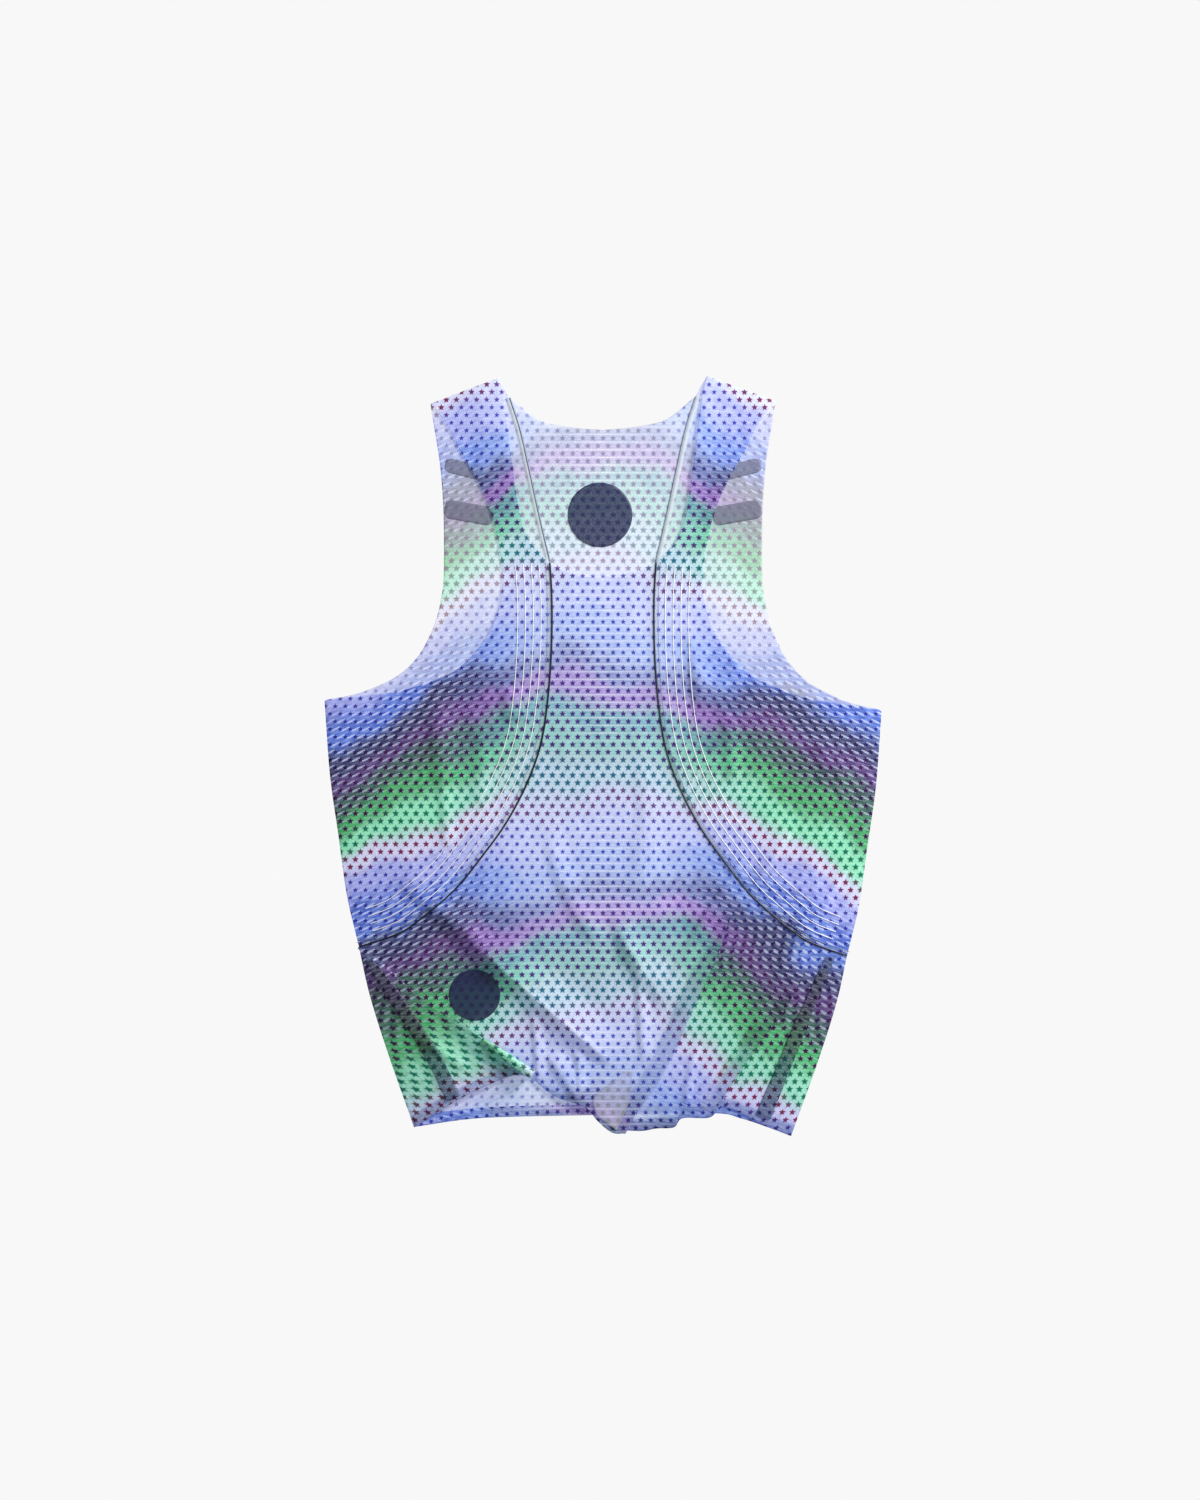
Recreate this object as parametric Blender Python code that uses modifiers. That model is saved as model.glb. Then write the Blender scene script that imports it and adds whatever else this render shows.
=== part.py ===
"""Running singlet laid flat: three back panels on the ground, three front panels on top.

Units are metres, +Z is up, +Y points to the neck and +X to the garment's right as it is seen.
The origin is the middle of the footprint, on the ground. "Left" and "right" are as seen.
"""
import math

import bpy
from mathutils import Vector

# ---------------------------------------------------------------- driving dimensions
WALL = 0.001                # thickness of every cloth wall
GAP = 0.0003                # clearance at seams and between the two layers
BACK_LEVEL = WALL / 2       # middle of the back's wall, which rests on the ground
FRONT_LEVEL = BACK_LEVEL + WALL + GAP   # middle of the front's wall where it lies flat
TURN_RADIUS = 0.001         # radius of the cloth's middle where a knife fold turns over
TURN_STEPS = 4              # facets in a half turn
RUN_STEPS = 2               # cells across the hidden ply between a fold's two turns
EDGE_EASE = 0.045           # the front lies flat at its side and armhole edges, and lifts over this
RISE_ROOM = 0.008           # a fold's upper ply is up at full height this far before its hidden crease

# Half outlines as (x, y) from the top down; the left half mirrors the right.
SHOULDER_OUTER = (0.1546, 0.3167)
SHOULDER_INNER = (0.0932, 0.3396)
BACK_NECKLINE = [
    SHOULDER_INNER, (0.0797, 0.3190), (0.0564, 0.3011), (0.0287, 0.2948), (0.0, 0.2921),
]
BACK_ARMHOLE = [
    SHOULDER_OUTER, (0.1523, 0.3011), (0.1465, 0.2652), (0.1434, 0.2294), (0.1425, 0.1935),
    (0.1429, 0.1577), (0.1452, 0.1398), (0.1492, 0.1219), (0.1564, 0.1039), (0.1667, 0.0860),
    (0.1855, 0.0681), (0.2177, 0.0529), (0.2495, 0.0457),
]
SIDE = [                                # from the armpit; its fifth point is the seam's end
    (0.2495, 0.0457), (0.2446, -0.0215), (0.2370, -0.0753), (0.2294, -0.1290),
    (0.2186, -0.1747), (0.2088, -0.2186), (0.1917, -0.2724),
]
FRONT_ARMHOLE = [
    SHOULDER_OUTER, (0.1402, 0.2984), (0.1268, 0.2724), (0.1102, 0.2428), (0.0986, 0.2132),
    (0.0914, 0.1801), (0.0900, 0.1505), (0.0950, 0.1263), (0.1057, 0.1039), (0.1192, 0.0860),
    (0.1353, 0.0726), (0.1586, 0.0627), (0.1837, 0.0547), (0.2150, 0.0502), (0.2495, 0.0457),
]
SCOOP_CORNER = (0.0475, 0.1729)         # where the front seam meets the neckline
FRONT_NECKLINE = [
    SHOULDER_INNER, (0.0887, 0.3235), (0.0815, 0.2661), (0.0753, 0.2222), (0.0663, 0.1935),
    SCOOP_CORNER,
]
SCOOP_SAG = 0.0116                      # the scoop's middle hangs this far below its corners
SEAM_TO_SIDE = [                        # shared by front and back, from the scoop's corner down
    (0.0475, 0.1729), (0.0457, 0.1398), (0.0461, 0.0950), (0.0493, 0.0502), (0.0556, 0.0099),
    (0.0681, -0.0260), (0.0869, -0.0618), (0.1093, -0.0932), (0.1308, -0.1201),
    (0.1523, -0.1398), (0.1765, -0.1586), (0.1989, -0.1684), (0.2186, -0.1747),
]
BACK_SEAM_TOP = [                       # the back's seam runs on up to the high neckline
    (0.0833, 0.3217), (0.0744, 0.2939), (0.0668, 0.2607), (0.0591, 0.2249), (0.0520, 0.1935),
]
# The garment lies a little askew: y gains x times this much at each height.
LEAN = [(-0.34, -0.018), (0.05, -0.018), (0.18, 0.0), (0.34, 0.009)]
BACK_HEM = [                            # from left to right
    (-0.1693, -0.3324), (-0.1281, -0.3261), (-0.0923, -0.3235), (-0.0116, -0.3217),
    (0.0959, -0.3199), (0.1228, -0.3244), (0.1496, -0.3333), (0.1684, -0.3404),
]

# Front hem, one line for each stretch between folds, from left to right.
HEM_LEFT_CORNER = [
    (-0.1693, -0.3324), (-0.1452, -0.3170), (-0.1246, -0.3050), (-0.1075, -0.2964),
    (-0.0817, -0.2862), (-0.0640, -0.2830),
]
HEM_MIDDLE = [
    (-0.1050, -0.2885), (-0.0880, -0.2858), (-0.0700, -0.2865), (-0.0600, -0.2925), (-0.0500, -0.3010),
    (-0.0367, -0.3080), (-0.0161, -0.3145), (-0.0054, -0.3261), (0.0081, -0.3369), (0.0200, -0.3378),
]
HEM_BETWEEN = [
    (0.0055, -0.3320), (0.0332, -0.3345), (0.0484, -0.3324), (0.0645, -0.3315),
    (0.0717, -0.3235), (0.0959, -0.3235), (0.1040, -0.3145),
]
HEM_RIGHT_CORNER = [
    (0.0892, -0.3114), (0.1040, -0.3128), (0.1165, -0.3165), (0.1310, -0.3235),
    (0.1466, -0.3310), (0.1684, -0.3404),
]

# Rows of the front's middle panel. Straight rows run from the scoop down to ROW_SPLIT; below it
# the rows ride along the folds to the hem, numbered by their share of that way, 0 to 1.
STRAIGHT_ROWS = 22
SCOOP_ROWS = 8              # this many rows below the neckline take on its sag
ROW_SPLIT = -0.110
FOLDED_ROWS = 22
HEM_REACH = 10              # the larger, the fewer rows above the hem follow its line
SEAM_END_SHARE = 7 / FOLDED_ROWS        # the row on which the seams reach the side edges
FOLD_POINTS = 2 * TURN_STEPS + RUN_STEPS + 1        # points of a row through one fold
COLUMNS = {"left": 6, "middle": 26, "between": 9, "right": 7}

# Knife folds, left to right: the upper ply lies on the left of each.
#   crest    visible edge from its apex down to the hem, (x, y)
#   apex     share of the way down at which the fold begins
#   turned   share of the way over which it turns from flat to folded over
#   overlap  hidden width at the hem
#   spread   share of the way over which the hidden width grows once the fold has turned
#   lean     slope of the fold's own run in plan at the hem, in degrees
HIDDEN_FROM = 0.7           # share of a fold's turning after which its hidden width starts
KNIFE_FOLDS = {
    "left": {
        "crest": [(-0.2186, -0.1707), (-0.1895, -0.1930), (-0.1600, -0.2190), (-0.1290, -0.2380),
                  (-0.0980, -0.2590), (-0.0790, -0.2730), (-0.0640, -0.2830)],
        "apex": SEAM_END_SHARE, "turned": 0.24, "overlap": 0.028, "spread": 0.60, "lean": 8.0,
    },
    "middle": {
        "crest": [(0.1308, -0.1225), (0.1150, -0.1430), (0.1040, -0.1740), (0.0880, -0.2090),
                  (0.0730, -0.2440), (0.0610, -0.2710), (0.0460, -0.2970), (0.0300, -0.3190),
                  (0.0200, -0.3378)],
        "apex": 1 / FOLDED_ROWS, "turned": 0.14, "overlap": 0.015, "spread": 0.24, "lean": -15.0,
    },
    "between": {
        "crest": [(0.1930, -0.1690), (0.1810, -0.1930), (0.1620, -0.2280), (0.1465, -0.2480),
                  (0.1330, -0.2670), (0.1150, -0.2940), (0.1040, -0.3145)],
        "apex": 6 / FOLDED_ROWS, "turned": 0.20, "overlap": 0.014, "spread": 0.26, "lean": -10.0,
    },
}

# Soft folds: the front's wall lifts beside a line.
#   line     the fold's crest, (x, y)
#   height   at its highest
#   gentle   width of the gentle side, on the left of the line's direction
#   steep    width of the steep side, on the right of it
#   grows    share of the line over which it rises to full height
SOFT_FOLDS = [
    {"line": [(-0.201, -0.096), (-0.176, -0.116), (-0.149, -0.139), (-0.118, -0.168),
              (-0.079, -0.201), (-0.040, -0.236), (-0.007, -0.264), (0.020, -0.284)],
     "height": 0.0050, "gentle": 0.034, "steep": 0.012, "grows": 0.5},
    {"line": [(-0.149, 0.055), (-0.148, 0.010), (-0.143, -0.030)],
     "height": 0.0030, "gentle": 0.020, "steep": 0.012, "grows": 0.3},
    {"line": [(-0.086, 0.064), (-0.082, 0.030)],
     "height": 0.0022, "gentle": 0.018, "steep": 0.010, "grows": 0.3},
    {"line": [(0.078, 0.121), (0.084, 0.080), (0.089, 0.038)],
     "height": 0.0026, "gentle": 0.018, "steep": 0.012, "grows": 0.3},
    {"line": [(0.193, 0.020), (0.201, -0.016)],
     "height": 0.0024, "gentle": 0.016, "steep": 0.012, "grows": 0.3},
    {"line": [(0.012, -0.135), (0.018, -0.166), (0.028, -0.182), (0.046, -0.205), (0.056, -0.230)],
     "height": 0.0030, "gentle": 0.026, "steep": 0.012, "grows": 0.3},
    {"line": [(-0.052, -0.262), (-0.031, -0.293), (-0.018, -0.310)],
     "height": 0.0028, "gentle": 0.016, "steep": 0.008, "grows": 0.3},
    {"line": [(0.203, -0.110), (0.190, -0.150), (0.172, -0.190), (0.152, -0.225)],
     "height": 0.0035, "gentle": 0.022, "steep": 0.016, "grows": 0.3},
]
BILLOW = 0.0022             # height of the slow swell of the front between its folds
BILLOW_LENGTH = (0.170, 0.210)      # its wavelengths along x and y
BILLOW_PHASE = 0.6          # radians by which its crests stand off the middle line
BILLOW_SLANT = 9.0          # radians its crests along y turn for each metre of x
BILLOW_SWING = 0.25         # share of BILLOW that each of its two waves adds or takes
FOLD_FADE = 0.2             # share of a soft fold's line over which it dies away at the end

RUNGS_NECK = 10             # rungs of a front side panel beside the neckline
RUNG_CELLS = 8              # cells along each rung
# How a side panel's rungs run: share of the inner edge against share of the outer edge.
#   Inner edge: 0 at the shoulder, 1 at the scoop's corner, 2 at the seam's end.
#   Outer edge: 0 at the shoulder, 1 at the armpit, 2 at the seam's end.
RUNG_SHARES = [
    (0.0, 0.0), (1.0, 0.40), (1.16, 0.54), (1.30, 0.80), (1.40, 1.0), (1.50, 1.22),
    (1.65, 1.50), (1.80, 1.74), (2.0, 2.0),
]
ARMPIT_SHARE = 1.40         # the rung nearest this share of the inner edge ends in the armpit
TIP_RUNGS = (0.4, 0.7, 0.88)            # last rungs, as shares of the seam's last stretch
SAME_POINT = 0.00008        # points of a row nearer than this are one corner
LEAST_ROOM = 0.1            # a ply rises over at least this share of its own width
CURVE_STEPS = 6             # facets between two points of a rounded line
COARSE_STEPS = 3            # the same where only its course matters
OUTLINE_STEP = 0.012        # spacing of the points on the flat panels' curved edges

PRINT_COLOURS = {           # base colour, roughness, metallic
    "front_centre": ((0.36, 0.42, 0.78, 1.0), 0.62, 0.0),
    "front_side": ((0.14, 0.42, 0.40, 1.0), 0.62, 0.0),
    "back_centre": ((0.62, 0.66, 0.88, 1.0), 0.66, 0.0),
    "back_side": ((0.50, 0.70, 0.72, 1.0), 0.66, 0.0),
}


# ---------------------------------------------------------------- small helpers
def smoothstep(value):
    """Ease from 0 to 1 as value goes from 0 to 1."""
    value = max(0.0, min(1.0, value))
    return value * value * (3.0 - 2.0 * value)


def blend(a, b, share):
    """Point or number that lies the share of the way from a to b."""
    return a + (b - a) * share


def look_up(table, key):
    """Value of a two-column table at key, straight between its rows."""
    if key <= table[0][0]:
        return table[0][1]
    for (k0, v0), (k1, v1) in zip(table, table[1:]):
        if key <= k1:
            return blend(v0, v1, (key - k0) / (k1 - k0))
    return table[-1][1]


def as_points(pairs):
    """2-D vectors from (x, y) pairs."""
    return [Vector(pair) for pair in pairs]


def rounded(points, steps=CURVE_STEPS):
    """Smooth curve through the points (Catmull-Rom), with steps to each stretch."""
    ends = [points[0] * 2 - points[1]] + points + [points[-1] * 2 - points[-2]]
    curve = []
    for p0, p1, p2, p3 in zip(ends, ends[1:], ends[2:], ends[3:]):
        for step in range(steps):
            t = step / steps
            curve.append(0.5 * ((2 * p1) + (p2 - p0) * t + (2 * p0 - 5 * p1 + 4 * p2 - p3) * t * t
                                + (3 * p1 - p0 - 3 * p2 + p3) * t ** 3))
    curve.append(points[-1].copy())
    return curve


class Path:
    """A polyline that gives the point at a share of its length."""

    def __init__(self, points):
        self.points = points
        self.reach = [0.0]
        for a, b in zip(points, points[1:]):
            self.reach.append(self.reach[-1] + (b - a).length)
        self.length = self.reach[-1]

    def at(self, share):
        """Point at a share of the length, 0 to 1."""
        want = max(0.0, min(1.0, share)) * self.length
        for i in range(len(self.points) - 1):
            if want <= self.reach[i + 1]:
                stretch = self.reach[i + 1] - self.reach[i]
                return blend(self.points[i], self.points[i + 1], (want - self.reach[i]) / stretch)
        return self.points[-1].copy()

    def at_height(self, y):
        """Point where a falling path passes the height y."""
        for a, b in zip(self.points, self.points[1:]):
            if a.y >= y >= b.y:
                return blend(a, b, (a.y - y) / max(a.y - b.y, 1e-9))
        return self.points[0].copy() if y > self.points[0].y else self.points[-1].copy()

    def nearest(self, point):
        """Distance to the path, its side (+1 on the left of its run) and the share of the way."""
        best = (1e9, 1.0, 0.0)
        for i, (a, b) in enumerate(zip(self.points, self.points[1:])):
            run = b - a
            t = max(0.0, min(1.0, (point - a).dot(run) / run.length_squared))
            away = point - (a + run * t)
            if away.length < best[0]:
                side = 1.0 if run.x * away.y - run.y * away.x > 0 else -1.0
                best = (away.length, side, (self.reach[i] + run.length * t) / self.length)
        return best


def laid(point, hand=1.0):
    """A half-outline point in its place: mirrored for the left, with the garment's lean."""
    x = point[0] * hand
    return Vector((x, point[1] + x * look_up(LEAN, point[1])))


def laid_path(pairs, hand=1.0, steps=CURVE_STEPS):
    """Rounded path through half-outline points, in its place."""
    return Path([laid(p, hand) for p in rounded(as_points(pairs), steps)])


def lower_side(hand):
    """The side edge from the seam's end down to the hem's corner, for front and back."""
    corner = Vector(BACK_HEM[-1] if hand > 0 else BACK_HEM[0])
    return Path(rounded([laid(p, hand) for p in SIDE[4:]] + [corner]))


def moved_aside(points, distance):
    """The polyline moved to the left of its run by a distance."""
    result = []
    for i, point in enumerate(points):
        run = points[min(i + 1, len(points) - 1)] - points[max(i - 1, 0)]
        normal = Vector((-run.y, run.x)).normalized()
        result.append(point + normal * distance)
    return result


def fabric(name):
    """Plain knit material in the panel's mean colour."""
    colour, roughness, metallic = PRINT_COLOURS[name]
    material = bpy.data.materials.get(name) or bpy.data.materials.new(name)
    material.use_nodes = True
    shader = material.node_tree.nodes["Principled BSDF"]
    shader.inputs["Base Color"].default_value = colour
    shader.inputs["Roughness"].default_value = roughness
    shader.inputs["Metallic"].default_value = metallic
    return material


# ---------------------------------------------------------------- the front's relief
FRONT_EDGES = [
    Path(laid_path(FRONT_ARMHOLE[:-1] + SIDE[:4], hand, COARSE_STEPS).points
         + lower_side(hand).points)
    for hand in (1.0, -1.0)
]
SOFT_PATHS = [Path(as_points(fold["line"])) for fold in SOFT_FOLDS]


def relief(point):
    """Height of the front's middle surface over its flat level, from swells and soft folds."""
    ease = smoothstep(min(edge.nearest(point)[0] for edge in FRONT_EDGES) / EDGE_EASE)
    swell_x = math.sin(2 * math.pi * point.x / BILLOW_LENGTH[0] + BILLOW_PHASE)
    swell_y = math.sin(2 * math.pi * point.y / BILLOW_LENGTH[1] + point.x * BILLOW_SLANT)
    height = BILLOW * (2 * BILLOW_SWING + BILLOW_SWING * (swell_x + swell_y))
    for fold, path in zip(SOFT_FOLDS, SOFT_PATHS):
        away, side, share = path.nearest(point)
        width = fold["gentle"] if side > 0 else fold["steep"]
        if away < width:
            fade = smoothstep(min(share / fold["grows"], (1.0 - share) / FOLD_FADE))
            height += fold["height"] * fade * (1.0 - smoothstep(away / width))
    return height * ease


def on_front(point, lift=0.0):
    """3-D point on the front's middle surface, lifted by the fold plies below it."""
    return Vector((point.x, point.y, FRONT_LEVEL + relief(point) + lift))


# ---------------------------------------------------------------- the front's middle panel
def fold_state(fold, share):
    """Turn angle and hidden width of a knife fold at a share of the way down."""
    down = share - fold["apex"]
    angle = math.pi * smoothstep(down / fold["turned"])
    begun = HIDDEN_FROM * fold["turned"]
    width = fold["overlap"] * smoothstep((down - begun) / fold["spread"])
    return angle, width


def turn_radius(angle):
    """Radius of each of a fold's two turns; their length stays that of a half turn."""
    return math.pi * TURN_RADIUS / max(angle, 1e-3)


def fold_height(angle):
    """How far a fold's upper ply lies over its lower one."""
    return 2.0 * turn_radius(angle) * (1.0 - math.cos(angle))


def knife_fold(fold, share, crest):
    """Plan points and lifts through a fold, from its upper ply over the crest to its lower ply."""
    angle, width = fold_state(fold, share)
    slope = math.radians(fold["lean"]) * share
    along = Vector((math.cos(slope), math.sin(slope)))
    edge = Vector(fold["crest"][-1]) - Vector(fold["crest"][0])
    along /= abs(along.cross(edge.normalized()))     # distances are square to the crest
    lift = fold_height(angle)
    radius = turn_radius(angle)
    run = -radius * math.sin(min(angle, math.pi / 2))
    points = [(crest + along * run, lift)]
    step = angle / TURN_STEPS
    chord = 2.0 * radius * math.sin(step / 2.0)
    for turn in (1, -1):
        for i in range(TURN_STEPS):
            heading = step * (i + 0.5) if turn == 1 else angle - step * (i + 0.5)
            run += chord * math.cos(heading)
            lift -= chord * math.sin(heading)
            points.append((crest + along * run, lift))
        if turn == 1:
            for i in range(RUN_STEPS):
                run += width * math.cos(angle) / RUN_STEPS
                points.append((crest + along * run, lift))
    return points


def end_point(hand, share):
    """End of a folded row on the seam, and below the seam's end on the side edge."""
    inset = GAP / 2
    seam = laid_path(SEAM_TO_SIDE, hand)
    if share <= SEAM_END_SHARE:
        top = seam.at_height(ROW_SPLIT)
        tip = seam.points[-1]
        y = blend(top.y, tip.y, share / SEAM_END_SHARE)
        point = seam.at_height(y)
        return Vector((point.x - hand * inset, point.y - inset))
    side = lower_side(hand)
    lower = (share - SEAM_END_SHARE) / (1.0 - SEAM_END_SHARE)
    return side.at_height(blend(side.points[0].y, side.points[-1].y, lower))


def crest_point(fold, share):
    """Plan point on a fold's visible edge at a share of the way down."""
    crest = Path(as_points(fold["crest"]))
    down = (share - fold["apex"]) / (1.0 - fold["apex"])
    return crest.at_height(blend(crest.points[0].y, crest.points[-1].y, down))


def stretch(start, end, cells, hem, share, covered=0.0, rise_to=0.0, rise_room=0.0):
    """Points of a row between two folds, bent towards the hem's line.

    The ply stays low where the last fold covers it, then rises to stand over the next one.
    """
    line = Path(as_points(hem))
    points = []
    for i in range(cells + 1):
        t = i / cells
        flat = blend(start, end, t)
        bow = line.at(t) - blend(line.points[0], line.points[-1], t)
        point = flat + bow * share ** HEM_REACH
        full = (end - start).length
        room = max(full - rise_room - covered, full * LEAST_ROOM, 1e-6)
        lift = rise_to * smoothstep((full * t - covered) / room)
        points.append((point, lift))
    return points


def folded_row(share):
    """One row of the middle panel from side to side, through its folds."""
    start = end_point(-1.0, share)
    finish = end_point(1.0, share)
    covered = 0.0
    row = []
    pieces = (("left", HEM_LEFT_CORNER), ("middle", HEM_MIDDLE), ("between", HEM_BETWEEN))
    for name, hem in pieces:
        fold = KNIFE_FOLDS[name]
        cells = COLUMNS[name]
        if share <= fold["apex"] + 1e-6:
            if name != "left":
                row.append(stretch(start, finish, cells, hem, share))
                start = finish
            else:
                row.append([(start, 0.0)] * (cells + 1))
            row.append([(start, 0.0)] * FOLD_POINTS)
            continue
        through = knife_fold(fold, share, crest_point(fold, share))
        room = (through[0][0] - through[TURN_STEPS + RUN_STEPS][0]).length + RISE_ROOM
        top = through[0][1]
        row.append(stretch(start, through[0][0], cells, hem, share, covered, top, room))
        row.append(through)
        start = through[-1][0]
        covered = room
    row.append(stretch(start, finish, COLUMNS["right"], HEM_RIGHT_CORNER, share))
    return [item for piece in row for item in piece]


def straight_row(k):
    """One row above the folds, which takes on the scoop's curve near the neckline."""
    ends = []
    for hand in (-1.0, 1.0):
        seam = laid_path(SEAM_TO_SIDE, hand)
        y = blend(seam.points[0].y, ROW_SPLIT, k / STRAIGHT_ROWS)
        point = seam.at_height(y)
        ends.append(Vector((point.x - hand * GAP / 2, point.y)))
    sag = SCOOP_SAG * (1.0 - smoothstep(k / SCOOP_ROWS))
    cells = COLUMNS["middle"]
    row = []
    for i in range(cells + 1):
        t = i / cells
        point = blend(ends[0], ends[1], t)
        row.append((point - Vector((0.0, sag * (1.0 - (2.0 * t - 1.0) ** 2))), 0.0))
    before = COLUMNS["left"] + 1 + FOLD_POINTS
    after = FOLD_POINTS * 2 + COLUMNS["between"] + 1 + COLUMNS["right"] + 1
    return [row[0]] * before + row + [row[-1]] * after


def seam_rows(hand):
    """Points of the front seam that the middle and side panels share, from the scoop down."""
    points = []
    pick = 0 if hand < 0 else -1
    for k in range(STRAIGHT_ROWS):
        points.append(straight_row(k)[pick][0])
    for k in range(int(round(SEAM_END_SHARE * FOLDED_ROWS)) + 1):
        points.append(end_point(hand, k / FOLDED_ROWS))
    return points


def mesh_from_rows(name, rows):
    """Surface between rows of 3-D points; points that coincide in a row are one vertex."""
    verts = []
    index = []
    for row in rows:
        line = []
        for point in row:
            if line and (verts[line[-1]] - point).length < SAME_POINT:
                line.append(line[-1])
            else:
                verts.append(point)
                line.append(len(verts) - 1)
        index.append(line)
    faces = []
    for upper, lower in zip(index, index[1:]):
        for i in range(len(upper) - 1):
            loop = [lower[i], lower[i + 1], upper[i + 1], upper[i]]
            corners = [v for j, v in enumerate(loop) if v != loop[j - 1]]
            if len(set(corners)) > 2:
                faces.append(corners)
    mesh = bpy.data.meshes.new(name)
    mesh.from_pydata([tuple(v) for v in verts], [], faces)
    mesh.update()
    return mesh


def cloth_wall(name, mesh, material, collection):
    """Object with the surface as the middle of a wall."""
    obj = bpy.data.objects.new(name, mesh)
    collection.objects.link(obj)
    mesh.materials.append(material)
    mesh.shade_smooth()
    wall = obj.modifiers.new("Wall", "SOLIDIFY")
    wall.thickness = WALL
    wall.offset = 0.0
    wall.use_quality_normals = True
    return obj


def front_centre(collection):
    """The front's middle panel with its knife folds."""
    rows = [straight_row(k) for k in range(STRAIGHT_ROWS)]
    rows += [folded_row(k / FOLDED_ROWS) for k in range(FOLDED_ROWS + 1)]
    surface = [[on_front(point, lift) for point, lift in row] for row in rows]
    mesh = mesh_from_rows("front_centre", surface)
    cloth_wall("front_centre", mesh, fabric("front_centre"), collection)


def front_side(name, hand, collection):
    """A front side panel: rungs from its neckline and seam to its armhole and side edge."""
    neck = laid_path(FRONT_NECKLINE, hand)
    seam = seam_rows(hand)
    armhole = laid_path(FRONT_ARMHOLE, hand)
    side = laid_path(SIDE[:5], hand)
    inner = [neck.at(i / RUNGS_NECK) for i in range(RUNGS_NECK)] + seam
    seam_path = Path(inner[RUNGS_NECK:])
    last = inner.pop()
    inner += [blend(inner[-1], last, t) for t in TIP_RUNGS]
    shares = [i / RUNGS_NECK for i in range(RUNGS_NECK)]
    step = 1.0 - seam_path.reach[-2] / seam_path.length
    shares += [1.0 + reach / seam_path.length for reach in seam_path.reach[:-1]]
    shares += [2.0 - step * (1.0 - t) for t in TIP_RUNGS]
    armpit = min(range(len(shares)), key=lambda i: abs(shares[i] - ARMPIT_SHARE))
    rows = []
    for i, point in enumerate(inner):
        if i >= RUNGS_NECK:
            point = point + Vector((hand * GAP, 0.0))
        outer_share = 1.0 if i == armpit else look_up(RUNG_SHARES, shares[i])
        if outer_share <= 1.0:
            outer = armhole.at(outer_share)
        else:
            outer = side.at(outer_share - 1.0)
        rung = [blend(point, outer, j / RUNG_CELLS) for j in range(RUNG_CELLS + 1)]
        if hand < 0:
            rung.reverse()
        rows.append([on_front(p) for p in rung])
    cloth_wall(name, mesh_from_rows(name, rows), fabric("front_side"), collection)


# ---------------------------------------------------------------- the back's flat panels
def evenly(path):
    """Points along a path about OUTLINE_STEP apart, ends included."""
    count = max(2, round(path.length / OUTLINE_STEP))
    return [path.at(i / count) for i in range(count + 1)]


def flat_panel(name, outline, material, collection):
    """Flat closed outline given the wall's thickness, resting on the ground."""
    curve = bpy.data.curves.new(name, "CURVE")
    curve.dimensions = "2D"
    curve.fill_mode = "BOTH"
    curve.extrude = WALL / 2
    spline = curve.splines.new("POLY")
    spline.points.add(len(outline) - 1)
    for spot, point in zip(spline.points, outline):
        spot.co = (point.x, point.y, 0.0, 1.0)
    spline.use_cyclic_u = True
    obj = bpy.data.objects.new(name, curve)
    obj.location.z = BACK_LEVEL
    curve.materials.append(material)
    collection.objects.link(obj)


def back_seam(hand, aside):
    """The back's seam from the neckline to the side, moved clear of its neighbour."""
    line = rounded(as_points(BACK_SEAM_TOP + SEAM_TO_SIDE), COARSE_STEPS)
    points = [laid(p, hand) for p in line]
    return evenly(Path(moved_aside(points, aside * hand)))


def back_side(name, hand, collection):
    """A back side panel, with the shoulder and the shallow armhole."""
    neck = laid_path(BACK_NECKLINE[:2], hand)
    seam = back_seam(hand, GAP / 2)
    armhole = evenly(laid_path(BACK_ARMHOLE, hand))
    side = evenly(laid_path(SIDE[:5], hand))
    outline = [neck.at(0.0)] + seam[:-1] + side[::-1] + armhole[-2::-1]
    flat_panel(name, outline, fabric("back_side"), collection)


def back_centre(collection):
    """The back's middle panel, from the high neckline to the hem."""
    left = back_seam(-1.0, -GAP / 2)
    right = back_seam(1.0, -GAP / 2)
    half = [BACK_SEAM_TOP[0]] + BACK_NECKLINE[1:]
    neck_left = evenly(laid_path(half, -1.0))
    neck_right = evenly(laid_path(half, 1.0))
    side_left = evenly(lower_side(-1.0))
    side_right = evenly(lower_side(1.0))
    hem = evenly(Path(rounded(as_points(BACK_HEM))))
    below = Vector((0.0, -GAP / 2))
    outline = left[:-1] + [side_left[0] + below] + side_left[1:-1] + hem
    outline += side_right[-2:0:-1] + [side_right[0] + below] + right[-2::-1]
    outline += neck_right[1:] + neck_left[-2:0:-1]
    flat_panel("back_centre", outline, fabric("back_centre"), collection)


def build():
    """Clear the scene and build the six panels."""
    for obj in list(bpy.data.objects):
        bpy.data.objects.remove(obj, do_unlink=True)
    collection = bpy.data.collections.new("running_singlet")
    bpy.context.scene.collection.children.link(collection)
    back_centre(collection)
    back_side("back_side_left", -1.0, collection)
    back_side("back_side_right", 1.0, collection)
    front_centre(collection)
    front_side("front_side_left", -1.0, collection)
    front_side("front_side_right", 1.0, collection)


build()
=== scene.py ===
"""Looks of a running singlet laid flat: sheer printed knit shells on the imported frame.

Units are metres, +Z is up, +Y points to the neck. "Left" and "right" are as seen from above.
The cloth follows the same tables as the solids. "Flat" coordinates are places on the cut pieces
before the hem was pushed into folds: across and up, with the middle line at 0.
"""

import math

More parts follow.
